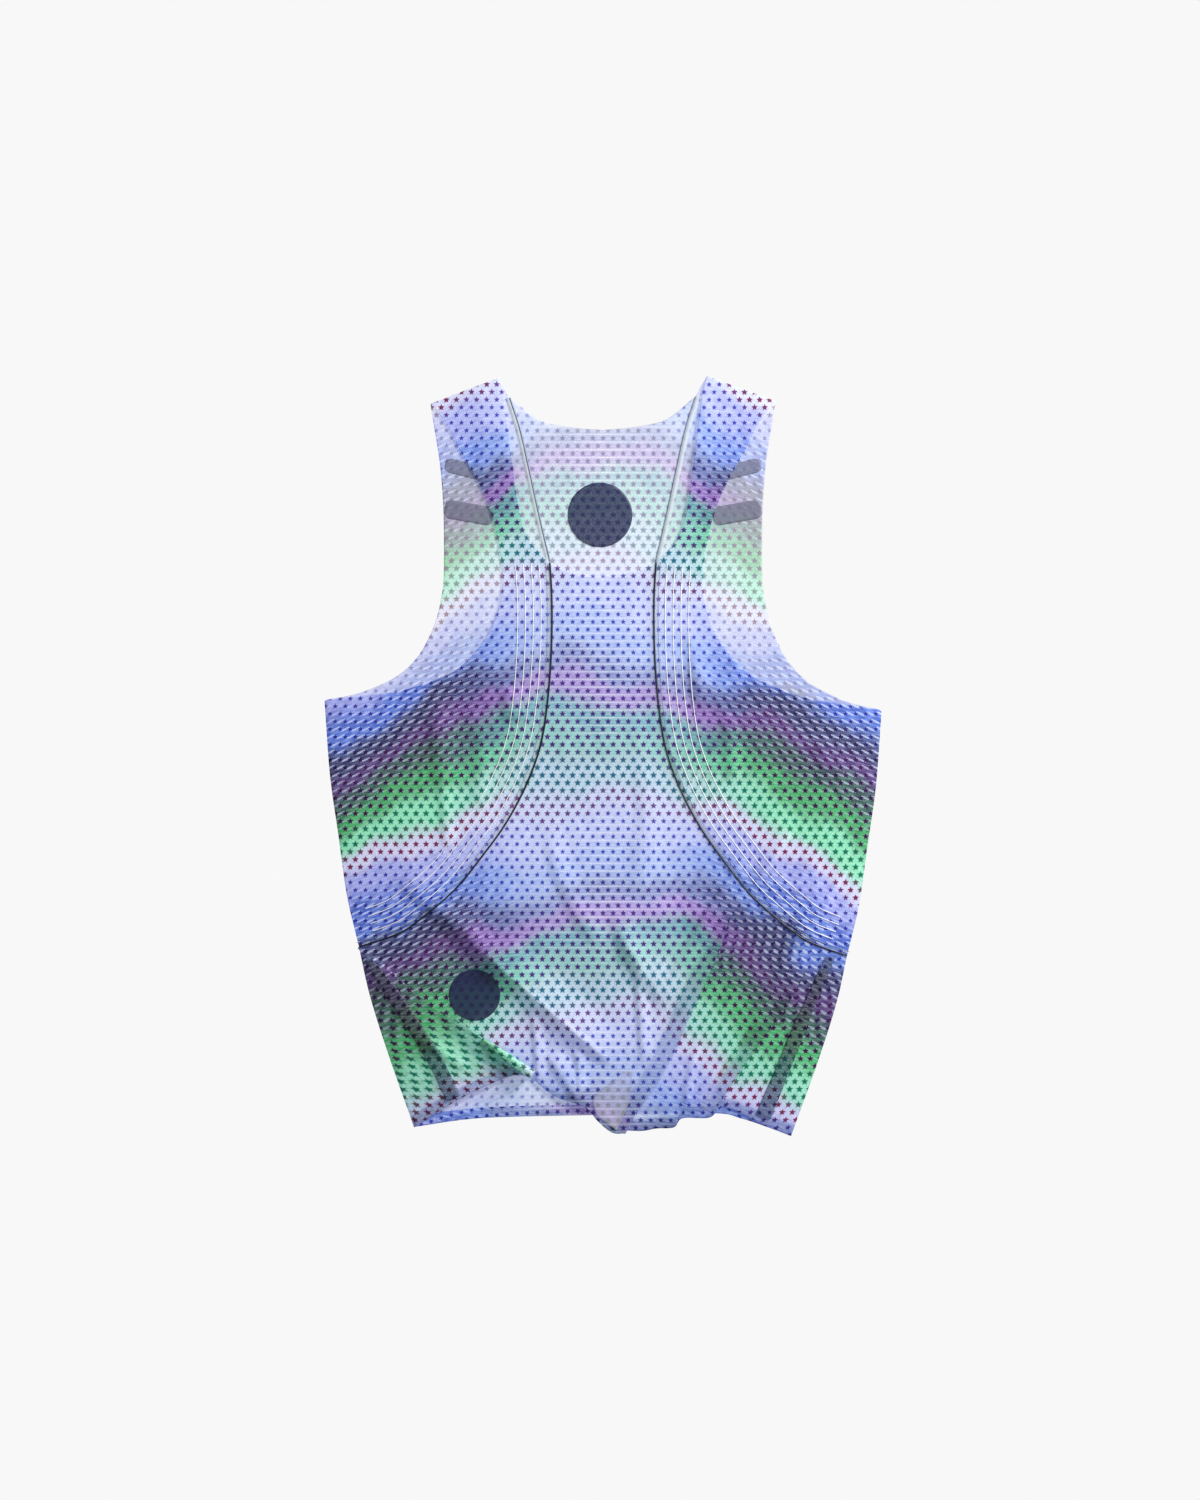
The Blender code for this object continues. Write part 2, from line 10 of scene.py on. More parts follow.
import bmesh
import bpy
import numpy as np
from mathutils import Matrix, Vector


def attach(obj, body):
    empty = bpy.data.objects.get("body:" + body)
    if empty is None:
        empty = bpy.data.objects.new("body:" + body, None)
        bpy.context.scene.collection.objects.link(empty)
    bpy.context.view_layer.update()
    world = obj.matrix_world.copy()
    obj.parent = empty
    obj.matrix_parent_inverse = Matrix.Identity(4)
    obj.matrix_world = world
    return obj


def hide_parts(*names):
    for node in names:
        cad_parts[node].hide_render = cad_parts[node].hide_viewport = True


bl_info = {
    "name": "Running singlet",
    "version": (1, 0, 0),
    "blender": (4, 5, 0),
    "location": "3D View > Sidebar > Singlet",
    "description": "Builds the cloth, print, seams and stage of a running singlet laid flat",
    "category": "Object",
}

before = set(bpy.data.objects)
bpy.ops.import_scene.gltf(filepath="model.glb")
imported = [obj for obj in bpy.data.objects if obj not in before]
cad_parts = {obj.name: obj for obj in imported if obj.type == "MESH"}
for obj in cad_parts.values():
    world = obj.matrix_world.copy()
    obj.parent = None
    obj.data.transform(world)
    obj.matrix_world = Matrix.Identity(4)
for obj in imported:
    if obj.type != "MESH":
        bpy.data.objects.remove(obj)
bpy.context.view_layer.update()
MM = 0.001

# ---------------------------------------------------------------- the cut, as in the solids
# Half outlines as (x, y) from the top down; the left half mirrors the right.
SHOULDER_OUTER = (0.1546, 0.3167)
SHOULDER_INNER = (0.0932, 0.3396)
BACK_ARMHOLE = [
    SHOULDER_OUTER, (0.1523, 0.3011), (0.1465, 0.2652), (0.1434, 0.2294), (0.1425, 0.1935),
    (0.1429, 0.1577), (0.1452, 0.1398), (0.1492, 0.1219), (0.1564, 0.1039), (0.1667, 0.0860),
    (0.1855, 0.0681), (0.2177, 0.0529), (0.2495, 0.0457),
]
SIDE = [                                # from the armpit; its fifth point is the seam's end
    (0.2495, 0.0457), (0.2446, -0.0215), (0.2370, -0.0753), (0.2294, -0.1290),
    (0.2186, -0.1747), (0.2088, -0.2186), (0.1917, -0.2724),
]
FRONT_ARMHOLE = [
    SHOULDER_OUTER, (0.1402, 0.2984), (0.1268, 0.2724), (0.1102, 0.2428), (0.0986, 0.2132),
    (0.0914, 0.1801), (0.0900, 0.1505), (0.0950, 0.1263), (0.1057, 0.1039), (0.1192, 0.0860),
    (0.1353, 0.0726), (0.1586, 0.0627), (0.1837, 0.0547), (0.2150, 0.0502), (0.2495, 0.0457),
]
SCOOP_CORNER = (0.0475, 0.1729)
FRONT_NECKLINE = [
    SHOULDER_INNER, (0.0887, 0.3235), (0.0815, 0.2661), (0.0753, 0.2222), (0.0663, 0.1935),
    SCOOP_CORNER,
]
SCOOP_SAG = 0.0116                      # the scoop's middle hangs this far below its corners
SEAM_TO_SIDE = [                        # shared by front and back, from the scoop's corner down
    SCOOP_CORNER, (0.0457, 0.1398), (0.0461, 0.0950), (0.0493, 0.0502), (0.0556, 0.0099),
    (0.0681, -0.0260), (0.0869, -0.0618), (0.1093, -0.0932), (0.1308, -0.1201),
    (0.1523, -0.1398), (0.1765, -0.1586), (0.1989, -0.1684), (0.2186, -0.1747),
]
BACK_SEAM_TOP = [                       # the back's seam runs on up to the high neckline
    (0.0833, 0.3217), (0.0744, 0.2939), (0.0668, 0.2607), (0.0591, 0.2249), (0.0520, 0.1935),
]
BACK_NECKLINE = [(0.0833, 0.3217), (0.0797, 0.3190), (0.0564, 0.3011), (0.0287, 0.2948), (0.0, 0.2921)]
# The garment lies a little askew: y gains x times this much at each height.
LEAN = [(-0.34, -0.018), (0.05, -0.018), (0.18, 0.0), (0.34, 0.009)]
BACK_HEM = [                            # from left to right
    (-0.1693, -0.3324), (-0.1281, -0.3261), (-0.0923, -0.3235), (-0.0116, -0.3217),
    (0.0959, -0.3199), (0.1228, -0.3244), (0.1496, -0.3333), (0.1684, -0.3404),
]

# Front hem, one line for each stretch between folds, from left to right.
HEM_STRETCHES = {
    "left": [
        (-0.1693, -0.3324), (-0.1452, -0.3170), (-0.1246, -0.3050), (-0.1075, -0.2964),
        (-0.0817, -0.2862), (-0.0640, -0.2830),
    ],
    "middle": [
        (-0.1050, -0.2885), (-0.0880, -0.2858), (-0.0700, -0.2865), (-0.0600, -0.2925),
        (-0.0500, -0.3010), (-0.0367, -0.3080), (-0.0161, -0.3145), (-0.0054, -0.3261),
        (0.0081, -0.3369), (0.0200, -0.3378),
    ],
    "between": [
        (0.0055, -0.3320), (0.0332, -0.3345), (0.0484, -0.3324), (0.0645, -0.3315),
        (0.0717, -0.3235), (0.0959, -0.3235), (0.1040, -0.3145),
    ],
    "right": [
        (0.0892, -0.3114), (0.1040, -0.3128), (0.1165, -0.3165), (0.1310, -0.3235),
        (0.1466, -0.3310), (0.1684, -0.3404),
    ],
}

# Rows of the front's middle panel: straight from the scoop to ROW_SPLIT, then along the folds.
ROW_SPLIT = -0.110
STRAIGHT_ROWS = 110
FOLDED_ROWS = 110
SCOOP_SHARE = 8 / 22                    # share of the straight rows that take on the scoop's sag
HEM_REACH = 10                          # the larger, the fewer rows above the hem follow its line
SEAM_END_SHARE = 7 / 22                 # share of the folded rows at which the seams end
COLUMNS = {"left": 30, "middle": 104, "between": 40, "right": 34}
TURN_STEPS = 7                          # facets in a half turn of a fold
RUN_STEPS = 5                           # cells across the hidden ply of a fold
FOLD_POINTS = 2 * TURN_STEPS + RUN_STEPS + 1
RISE_ROOM = 0.008                       # a fold's upper ply is up this far before its hidden crease
HIDDEN_FROM = 0.7                       # share of a fold's turning after which its hidden width starts
LEAST_ROOM = 0.1                        # a ply rises over at least this share of its own width
LEAST_ANGLE = 0.001

# Knife folds, left to right: the upper ply lies on the left of each.
#   crest    visible edge from its apex down to the hem, (x, y)
#   apex     share of the way down at which the fold begins
#   turned   share of the way over which it turns from flat to folded over
#   overlap  hidden width at the hem
#   spread   share of the way over which the hidden width grows once the fold has turned
#   lean     slope of the fold's own run in plan at the hem, in degrees
KNIFE_FOLDS = {
    "left": {
        "crest": [(-0.2186, -0.1707), (-0.1895, -0.1930), (-0.1600, -0.2190), (-0.1290, -0.2380),
                  (-0.0980, -0.2590), (-0.0790, -0.2730), (-0.0640, -0.2830)],
        "apex": SEAM_END_SHARE, "turned": 0.24, "overlap": 0.028, "spread": 0.60, "lean": 8.0,
    },
    "middle": {
        "crest": [(0.1308, -0.1225), (0.1150, -0.1430), (0.1040, -0.1740), (0.0880, -0.2090),
                  (0.0730, -0.2440), (0.0610, -0.2710), (0.0460, -0.2970), (0.0300, -0.3190),
                  (0.0200, -0.3378)],
        "apex": 1 / 22, "turned": 0.14, "overlap": 0.015, "spread": 0.24, "lean": -15.0,
    },
    "between": {
        "crest": [(0.1930, -0.1690), (0.1810, -0.1930), (0.1620, -0.2280), (0.1465, -0.2480),
                  (0.1330, -0.2670), (0.1150, -0.2940), (0.1040, -0.3145)],
        "apex": 6 / 22, "turned": 0.20, "overlap": 0.014, "spread": 0.26, "lean": -10.0,
    },
}

# Soft folds and creases of the front.
#   height   at its highest
#   gentle   width of the gentle side, on the left of the line's direction
#   steep    width of the steep side, on the right of it
#   grows    share of the line over which it rises to full height
#   line     the fold's crest, (x, y)
SOFT_FOLDS = [
    # height, gentle, steep, grows, line
    (0.0050, 0.034, 0.009, 0.4, [(-0.201, -0.096), (-0.176, -0.116), (-0.149, -0.139), (-0.118, -0.168),
        (-0.079, -0.201), (-0.040, -0.236), (-0.007, -0.264), (0.020, -0.284)]),
    (0.0030, 0.020, 0.012, 0.3, [(-0.149, 0.055), (-0.148, 0.010), (-0.143, -0.030)]),
    (0.0022, 0.018, 0.010, 0.3, [(-0.086, 0.064), (-0.082, 0.030)]),
    (0.0026, 0.018, 0.012, 0.3, [(0.078, 0.121), (0.084, 0.080), (0.089, 0.038)]),
    (0.0024, 0.016, 0.012, 0.3, [(0.193, 0.020), (0.201, -0.016)]),
    (0.0030, 0.026, 0.012, 0.3, [(0.012, -0.135), (0.018, -0.166), (0.028, -0.182), (0.046, -0.205),
        (0.056, -0.230)]),
    (0.0028, 0.016, 0.008, 0.3, [(-0.052, -0.262), (-0.031, -0.293), (-0.018, -0.310)]),
    (0.0035, 0.022, 0.016, 0.3, [(0.203, -0.110), (0.190, -0.150), (0.172, -0.190), (0.152, -0.225)]),
]
CREASES = [                             # finer creases, as in SOFT_FOLDS
    (0.0014, 0.005, 0.003, 0.2, [(-0.130, -0.156), (-0.098, -0.184), (-0.060, -0.218), (-0.020, -0.252),
        (0.014, -0.280)]),
    (0.0024, 0.012, 0.004, 0.2, [(0.014, -0.150), (0.021, -0.172), (0.029, -0.186), (0.033, -0.230),
        (0.036, -0.280)]),
    (0.0022, 0.016, 0.006, 0.3, [(0.132, -0.080), (0.098, -0.135), (0.072, -0.180), (0.050, -0.216)]),
    (0.0020, 0.006, 0.012, 0.3, [(0.170, -0.063), (0.150, -0.098), (0.136, -0.122)]),
    (0.0018, 0.012, 0.005, 0.3, [(-0.147, -0.010), (-0.142, -0.050), (-0.141, -0.086)]),
    (0.0024, 0.006, 0.012, 0.3, [(0.190, -0.115), (0.172, -0.165), (0.150, -0.215), (0.128, -0.262)]),
    (0.0012, 0.004, 0.003, 0.3, [(0.121, -0.262), (0.112, -0.276), (0.104, -0.288)]),
    (0.0020, 0.010, 0.004, 0.3, [(-0.063, -0.222), (-0.060, -0.262), (-0.057, -0.298)]),
    (0.0016, 0.012, 0.006, 0.3, [(-0.165, -0.128), (-0.128, -0.152), (-0.100, -0.180), (-0.082, -0.210)]),
    (0.0018, 0.010, 0.005, 0.4, [(-0.175, -0.240), (-0.150, -0.262), (-0.118, -0.284)]),
    (0.0014, 0.008, 0.004, 0.4, [(-0.196, -0.232), (-0.180, -0.268), (-0.164, -0.300)]),
    (0.0018, 0.010, 0.005, 0.4, [(0.222, -0.080), (0.206, -0.120), (0.192, -0.150)]),
    (0.0016, 0.008, 0.006, 0.3, [(0.214, 0.030), (0.212, -0.010), (0.216, -0.050)]),
    (0.0018, 0.006, 0.006, 0.4, [(0.086, -0.250), (0.078, -0.285), (0.074, -0.318)]),
    (0.0016, 0.010, 0.004, 0.4, [(-0.030, -0.248), (-0.022, -0.276), (-0.020, -0.306)]),
    (0.0016, 0.026, 0.014, 0.5, [(0.034, 0.020), (0.038, -0.060), (0.028, -0.130)]),
    (0.0020, 0.018, 0.010, 0.5, [(-0.056, -0.050), (-0.034, -0.120), (0.000, -0.175)]),
    (0.0016, 0.012, 0.008, 0.4, [(0.104, 0.060), (0.112, 0.020), (0.116, -0.030)]),
    (0.0016, 0.010, 0.012, 0.4, [(-0.112, 0.040), (-0.108, 0.000), (-0.112, -0.050)]),
]
BILLOW = 0.0022                         # height of the slow swell of the front between its folds
BILLOW_LENGTH = (0.170, 0.210)
BILLOW_PHASE = 0.6
BILLOW_SLANT = 9.0
BILLOW_SWING = 0.25
FOLD_FADE = 0.2                         # share of a soft fold's line over which it dies away
EDGE_EASE = 0.045                       # the front lies flat at its edges, and lifts over this
CURVE_STEPS = 6

# Levels of the thin cloth inside the solids' walls.
BACK_LEVEL = 0.30 * MM
FRONT_LEVEL = 1.50 * MM
JOINED_LEVEL = 0.80 * MM                # the front comes down to this where it meets the back
JOINED_WIDTH = 9.0 * MM                 # over this width from the side edges and shoulders
TURN_RADIUS = 0.6 * MM                  # of the cloth's middle where a knife fold turns over
SEAM_GAP = 0.15 * MM                    # each panel ends this far from the seam's line
SAME_POINT = 0.02 * MM
PLIES_PAINTED_SHADE = (0.73, 0.81, 0.91)        # painted shade on the print over a fold's two hidden plies, for the light they hold back
PLIES_EDGE = 1.5 * MM                   # width over which that shade ends
HEM_PAINTED_SHADE = (0.60, 0.68, 0.80)          # painted shade on the print over the turned-up hem, for the light the turn-up below holds back
HEM_SHARE = 0.955                       # the painted hem shade starts at this share of the folded rows, over the hem's turn-up


# ---------------------------------------------------------------- small helpers
def smoothstep(value):
    """Ease from 0 to 1 as value goes from 0 to 1."""
    value = np.clip(value, 0.0, 1.0)
    return value * value * (3.0 - 2.0 * value)


def blend(a, b, share):
    """Point or number that lies the share of the way from a to b."""
    return a + (b - a) * share


def linear(code):
    """Scene-linear colour, with alpha 1, from an sRGB hex code."""
    parts = [int(code[i:i + 2], 16) / 255 for i in (0, 2, 4)]
    return [p / 12.92 if p <= 0.04045 else ((p + 0.055) / 1.055) ** 2.4 for p in parts] + [1.0]


def rounded(points, steps=CURVE_STEPS):
    """Smooth curve through the points (Catmull-Rom), with steps to each stretch."""
    spots = np.array(points, float)
    ends = np.vstack([2 * spots[0] - spots[1], spots, 2 * spots[-1] - spots[-2]])
    t = np.arange(steps)[:, None] / steps
    curve = []
    for p0, p1, p2, p3 in zip(ends, ends[1:], ends[2:], ends[3:]):
        curve.append(0.5 * (2 * p1 + (p2 - p0) * t + (2 * p0 - 5 * p1 + 4 * p2 - p3) * t * t
                            + (3 * p1 - p0 - 3 * p2 + p3) * t ** 3))
    return np.vstack(curve + [spots[-1:]])


class Path:
    """A polyline in plan that gives its points by share, by height or by nearness."""

    def __init__(self, points):
        self.points = np.array(points, float)
        steps = np.linalg.norm(np.diff(self.points, axis=0), axis=1)
        self.reach = np.concatenate([[0.0], np.cumsum(steps)])
        self.length = self.reach[-1]

    def at(self, share):
        """Points at shares of the length."""
        want = np.clip(share, 0.0, 1.0) * self.length
        return np.stack([np.interp(want, self.reach, self.points[:, i]) for i in (0, 1)], axis=-1)

    def at_height(self, y):
        """Point where a falling path passes the height y."""
        rising = self.points[::-1]
        y = float(np.clip(y, rising[0, 1], rising[-1, 1]))
        return np.array([np.interp(y, rising[:, 1], rising[:, 0]), y])

    def nearest(self, spots):
        """Distance to the path, side (+1 on the left of its run) and share, for each spot."""
        best = np.full(len(spots), 1e9)
        side = np.ones(len(spots))
        share = np.zeros(len(spots))
        for i, (a, b) in enumerate(zip(self.points, self.points[1:])):
            run = b - a
            size = max(run.dot(run), 1e-14)
            t = np.clip(((spots - a) @ run) / size, 0.0, 1.0)
            away = spots - (a + t[:, None] * run)
            gap = np.hypot(away[:, 0], away[:, 1])
            near = gap < best
            best[near] = gap[near]
            side[near] = np.where(run[0] * away[near, 1] - run[1] * away[near, 0] > 0, 1.0, -1.0)
            share[near] = (self.reach[i] + math.sqrt(size) * t[near]) / self.length
        return best, side, share


def laid(points, hand=1.0):
    """Half-outline points in their place: mirrored for the left, with the garment's lean."""
    spots = np.array(points, float) * (hand, 1.0)
    heights, slopes = np.array(LEAN).T
    spots[:, 1] += spots[:, 0] * np.interp(spots[:, 1], heights, slopes)
    return spots


def laid_path(points, hand=1.0):
    """Rounded path through half-outline points, in its place."""
    return Path(laid(rounded(points), hand))


def lower_side(hand):
    """The side edge from the seam's end down to the hem's corner, for front and back."""
    corner = BACK_HEM[-1] if hand > 0 else BACK_HEM[0]
    return Path(rounded(np.vstack([laid(SIDE[4:], hand), corner])))


# ---------------------------------------------------------------- the front's relief
HANDS = {"left": -1.0, "right": 1.0}
SIDE_EDGES = [
    Path(np.vstack([laid_path(SIDE[:5], h).points, lower_side(h).points[1:]])) for h in HANDS.values()
]
ARMHOLES = [laid_path(FRONT_ARMHOLE, h) for h in HANDS.values()]
SHOULDERS = [Path(laid([SHOULDER_OUTER, SHOULDER_INNER], h)) for h in HANDS.values()]


def relief(spots):
    """Height of the front's middle surface over its flat level, from swells and soft folds."""
    edge = np.min([path.nearest(spots)[0] for path in SIDE_EDGES + ARMHOLES], axis=0)
    x, y = spots.T
    swell = np.sin(2 * math.pi * x / BILLOW_LENGTH[0] + BILLOW_PHASE)
    swell = swell + np.sin(2 * math.pi * y / BILLOW_LENGTH[1] + x * BILLOW_SLANT)
    height = BILLOW * BILLOW_SWING * (2.0 + swell)
    for rise, gentle, steep, grows, line in SOFT_FOLDS + CREASES:
        away, side, share = Path(rounded(line)).nearest(spots)
        fade = smoothstep(np.minimum(share / grows, (1.0 - share) / FOLD_FADE))
        height += rise * fade * (1.0 - smoothstep(away / np.where(side > 0, gentle, steep)))
    return height * smoothstep(edge / EDGE_EASE)


def on_front(spots, lift=0.0):
    """3-D points on the front's middle surface, lifted by the fold plies below them."""
    joined = np.min([path.nearest(spots)[0] for path in SIDE_EDGES + SHOULDERS], axis=0)
    level = blend(JOINED_LEVEL, FRONT_LEVEL, smoothstep(joined / JOINED_WIDTH))
    return np.column_stack([spots, level + relief(spots) + lift])


def on_back(spots, lift=0.0):
    """3-D points on the back's middle surface."""
    return np.column_stack([spots, np.full(len(spots), BACK_LEVEL) + lift])


# ---------------------------------------------------------------- the front's middle panel
def knife_fold(fold, share, crest):
    """Plan points and lifts through a fold, from its upper ply over the crest to its lower ply."""
    down = share - fold["apex"]
    angle = math.pi * float(smoothstep(down / fold["turned"]))
    begun = HIDDEN_FROM * fold["turned"]
    width = fold["overlap"] * float(smoothstep((down - begun) / fold["spread"]))
    slope = math.radians(fold["lean"]) * share
    along = np.array([math.cos(slope), math.sin(slope)])
    edge = np.subtract(fold["crest"][-1], fold["crest"][0])
    edge /= np.linalg.norm(edge)
    along /= abs(along[0] * edge[1] - along[1] * edge[0])     # distances are square to the crest
    radius = math.pi * TURN_RADIUS / max(angle, LEAST_ANGLE)  # each turn keeps a half turn's length
    lift = 2.0 * radius * (1.0 - math.cos(angle))
    run = -radius * math.sin(min(angle, math.pi / 2))
    points = [(*(crest + along * run), lift)]
    step = angle / TURN_STEPS
    chord = 2.0 * radius * math.sin(step / 2.0)
    for turn in (1, -1):
        for i in range(TURN_STEPS):
            heading = step * (i + 0.5) if turn == 1 else angle - step * (i + 0.5)
            run += chord * math.cos(heading)
            lift -= chord * math.sin(heading)
            points.append((*(crest + along * run), lift))
        if turn == 1:
            for i in range(RUN_STEPS):
                run += width * math.cos(angle) / RUN_STEPS
                points.append((*(crest + along * run), lift))
    return np.array(points)


def end_point(hand, share):
    """End of a folded row on the seam, and below the seam's end on the side edge."""
    seam = laid_path(SEAM_TO_SIDE, hand)
    if share <= SEAM_END_SHARE:
        top = seam.at_height(ROW_SPLIT)
        point = seam.at_height(blend(top[1], seam.points[-1][1], share / SEAM_END_SHARE))
        return point - (hand * SEAM_GAP, SEAM_GAP)
    side = lower_side(hand)
    lower = (share - SEAM_END_SHARE) / (1.0 - SEAM_END_SHARE)
    return side.at_height(blend(side.points[0][1], side.points[-1][1], lower))


def stretch(start, end, name, share, covered=0.0, rise_to=0.0, rise_room=0.0):
    """Points and lifts of a row between two folds, bent towards the hem's line."""
    line = Path(rounded(HEM_STRETCHES[name]))
    t = np.linspace(0.0, 1.0, COLUMNS[name] + 1)[:, None]
    bow = line.at(t[:, 0]) - blend(line.points[0], line.points[-1], t)
    points = blend(start, end, t) + bow * share ** HEM_REACH
    full = np.linalg.norm(end - start)
    room = max(full - rise_room - covered, full * LEAST_ROOM, 1e-6)
    return np.column_stack([points, rise_to * smoothstep((full * t[:, 0] - covered) / room)])


def still(point, count):
    """A stretch or fold that hasn't begun: its columns all lie on one point."""
    return np.tile([point[0], point[1], 0.0], (count, 1))


def folded_row(share):
    """One row of the middle panel through its folds, and where its middle stretch lies in it."""
    start = end_point(-1.0, share)
    finish = end_point(1.0, share)
    covered = 0.0
    row = []
    for name in ("left", "middle", "between"):
        fold = KNIFE_FOLDS[name]
        if share <= fold["apex"] + 1e-6:
            if name == "left":
                row.append(still(start, COLUMNS[name] + 1))
            else:
                row.append(stretch(start, finish, name, share))
                start = finish
            row.append(still(start, FOLD_POINTS))
            continue
        crest_path = Path(rounded(fold["crest"]))
        down = (share - fold["apex"]) / (1.0 - fold["apex"])
        crest = crest_path.at_height(blend(crest_path.points[0][1], crest_path.points[-1][1], down))
        through = knife_fold(fold, share, crest)
        room = np.linalg.norm(through[0, :2] - through[TURN_STEPS + RUN_STEPS, :2]) + RISE_ROOM
        row.append(stretch(start, through[0, :2], name, share, covered, through[0, 2], room))
        row.append(through)
        start = through[-1, :2]
        covered = room
    row.append(stretch(start, finish, "right", share))
    return np.vstack(row)


def straight_row(share):
    """One row above the folds, which takes on the scoop's curve near the neckline."""
    ends = []
    for hand in HANDS.values():
        seam = laid_path(SEAM_TO_SIDE, hand)
        y = blend(seam.points[0][1], ROW_SPLIT, share)
        ends.append(seam.at_height(y) - (hand * SEAM_GAP, 0.0))
    t = np.linspace(0.0, 1.0, COLUMNS["middle"] + 1)[:, None]
    points = blend(ends[0], ends[1], t)
    sag = SCOOP_SAG * (1.0 - smoothstep(share / SCOOP_SHARE))
    points[:, 1] -= sag * (1.0 - (2.0 * t[:, 0] - 1.0) ** 2)
    row = np.column_stack([points, np.zeros(len(points))])
    before = COLUMNS["left"] + 1 + FOLD_POINTS
    after = FOLD_POINTS * 2 + COLUMNS["between"] + 1 + COLUMNS["right"] + 1
    return np.vstack([still(row[0], before), row, still(row[-1], after)])


def painted_plies_shade(row, share):
    """Painted shade of each column of a row: below 1 where an upper ply lies over a fold's hidden width, and
    over the hem's turn-up.
    """
    painted_shades = np.ones((len(row), 3))
    first = 0
    for name, fold in KNIFE_FOLDS.items():
        last = first + COLUMNS[name]
        begun = fold["apex"] + HIDDEN_FROM * fold["turned"]
        width = fold["overlap"] * float(smoothstep((share - begun) / fold["spread"]))
        away = np.linalg.norm(row[first:last + 1, :2] - row[last, :2], axis=1)
        if width > 2.0 * SAME_POINT:
            open_share = smoothstep((away - width) / PLIES_EDGE)[:, None]
            painted_shades[first:last + 1] = blend(np.array(PLIES_PAINTED_SHADE), 1.0, open_share)
            painted_shades[last:last + FOLD_POINTS // 2] = PLIES_PAINTED_SHADE
        first = last + 1 + FOLD_POINTS
    # Rows over the hem's turn-up take a painted shade as well.
    return painted_shades * HEM_PAINTED_SHADE if share > HEM_SHARE else painted_shades


def flat_row(row):
    """Flat coordinates of a row: its plan in the middle, and the cloth's own length from there out."""
    steps = np.linalg.norm(np.diff(row, axis=0), axis=1)
    reach = np.concatenate([[0.0], np.cumsum(steps)])
    first = COLUMNS["left"] + 1 + FOLD_POINTS
    last = first + COLUMNS["middle"]
    across = row[:, 0].copy()
    across[:first] = row[first, 0] - (reach[first] - reach[:first])
    across[last:] = row[last, 0] + (reach[last:] - reach[last])
    return np.column_stack([across, row[:, 1]])


def middle_rows():
    """Plan points with lifts of the front's middle panel, from the scoop to the hem."""
    rows = [straight_row(k / STRAIGHT_ROWS) for k in range(STRAIGHT_ROWS)]
    rows += [folded_row(k / FOLDED_ROWS) for k in range(FOLDED_ROWS + 1)]
    return rows


# ---------------------------------------------------------------- side panels and back
# How a side panel's rungs run: share of the inner edge against share of the outer edge.
#   Inner edge: 0 at the shoulder, 1 at the scoop's corner, 2 at the seam's end.
#   Outer edge: 0 at the shoulder, 1 at the armpit, 2 at the seam's end.
LOWER_RUNG_SHARES = [(1.40, 1.0), (1.50, 1.22), (1.65, 1.50), (1.80, 1.74), (2.0, 2.0)]
RUNG_SHARES = [(0.0, 0.0), (1.0, 0.40), (1.16, 0.54), (1.30, 0.80)] + LOWER_RUNG_SHARES
BACK_RUNG_SHARES = [(0.0, 0.0), (1.0, 0.58), (1.25, 0.84)] + LOWER_RUNG_SHARES
SIDE_RUNGS = (100, 160)                 # rungs beside the neckline, and from there to the seam's end
SIDE_CELLS = 52                         # cells along each rung
BACK_ROWS = 150
BACK_COLUMNS = 90
NECK_FADE = 0.090                       # the back's rows follow the neckline down to this depth
HEM_FADE = 0.060                        # and the hem up to this height


def along(first, second, share):
    """Points at shares 0 to 2 of two paths laid end to end."""
    low = first.at(np.minimum(share, 1.0))
    high = second.at(np.maximum(share - 1.0, 0.0))
    return np.where((share <= 1.0)[:, None], low, high)


def side_rows(hand, neck, armhole, table):
    """Rows of plan points of a side panel, from the shoulder down to the seam's end."""
    shares = np.concatenate([np.linspace(0, 1, SIDE_RUNGS[0])[:-1], np.linspace(1, 2, SIDE_RUNGS[1])])
    seam = laid_path(SEAM_TO_SIDE, hand)
    inner = along(laid_path(neck, hand), seam, shares)
    inner[shares >= 1.0, 0] += hand * SEAM_GAP
    keys, values = np.array(table).T
    outer = along(laid_path(armhole, hand), laid_path(SIDE[:5], hand), np.interp(shares, keys, values))
    t = np.linspace(0.0, 1.0, SIDE_CELLS + 1)[:, None]
    rows = [blend(a, b, t) for a, b in zip(inner, outer)]
    return [row[::-1] for row in rows] if hand < 0 else rows


def back_rows():
    """Rows of plan points of the back's middle panel, from the neckline to the hem."""
    edges = []
    for hand in HANDS.values():
        seam = laid_path(BACK_SEAM_TOP + SEAM_TO_SIDE, hand).points - (hand * SEAM_GAP, 0.0)
        edges.append(Path(np.vstack([seam, lower_side(hand).points[1:]])))
    half = laid_path(BACK_NECKLINE, 1.0).points
    neck = Path(np.vstack([laid_path(BACK_NECKLINE, -1.0).points, half[-2::-1]]))
    hem = Path(rounded(BACK_HEM))
    t = np.linspace(0.0, 1.0, BACK_COLUMNS + 1)[:, None]
    dips = [line.at(t[:, 0]) - blend(line.points[0], line.points[-1], t) for line in (neck, hem)]
    rows = []
    tall = edges[0].points[0][1] - edges[0].points[-1][1]
    for share in np.linspace(0.0, 1.0, BACK_ROWS + 1):
        left, right = (e.at_height(blend(e.points[0][1], e.points[-1][1], share)) for e in edges)
        row = blend(left, right, t) + dips[0] * (1.0 - smoothstep(share * tall / NECK_FADE))
        rows.append(row + dips[1] * (1.0 - smoothstep((1.0 - share) * tall / HEM_FADE)))
    return rows


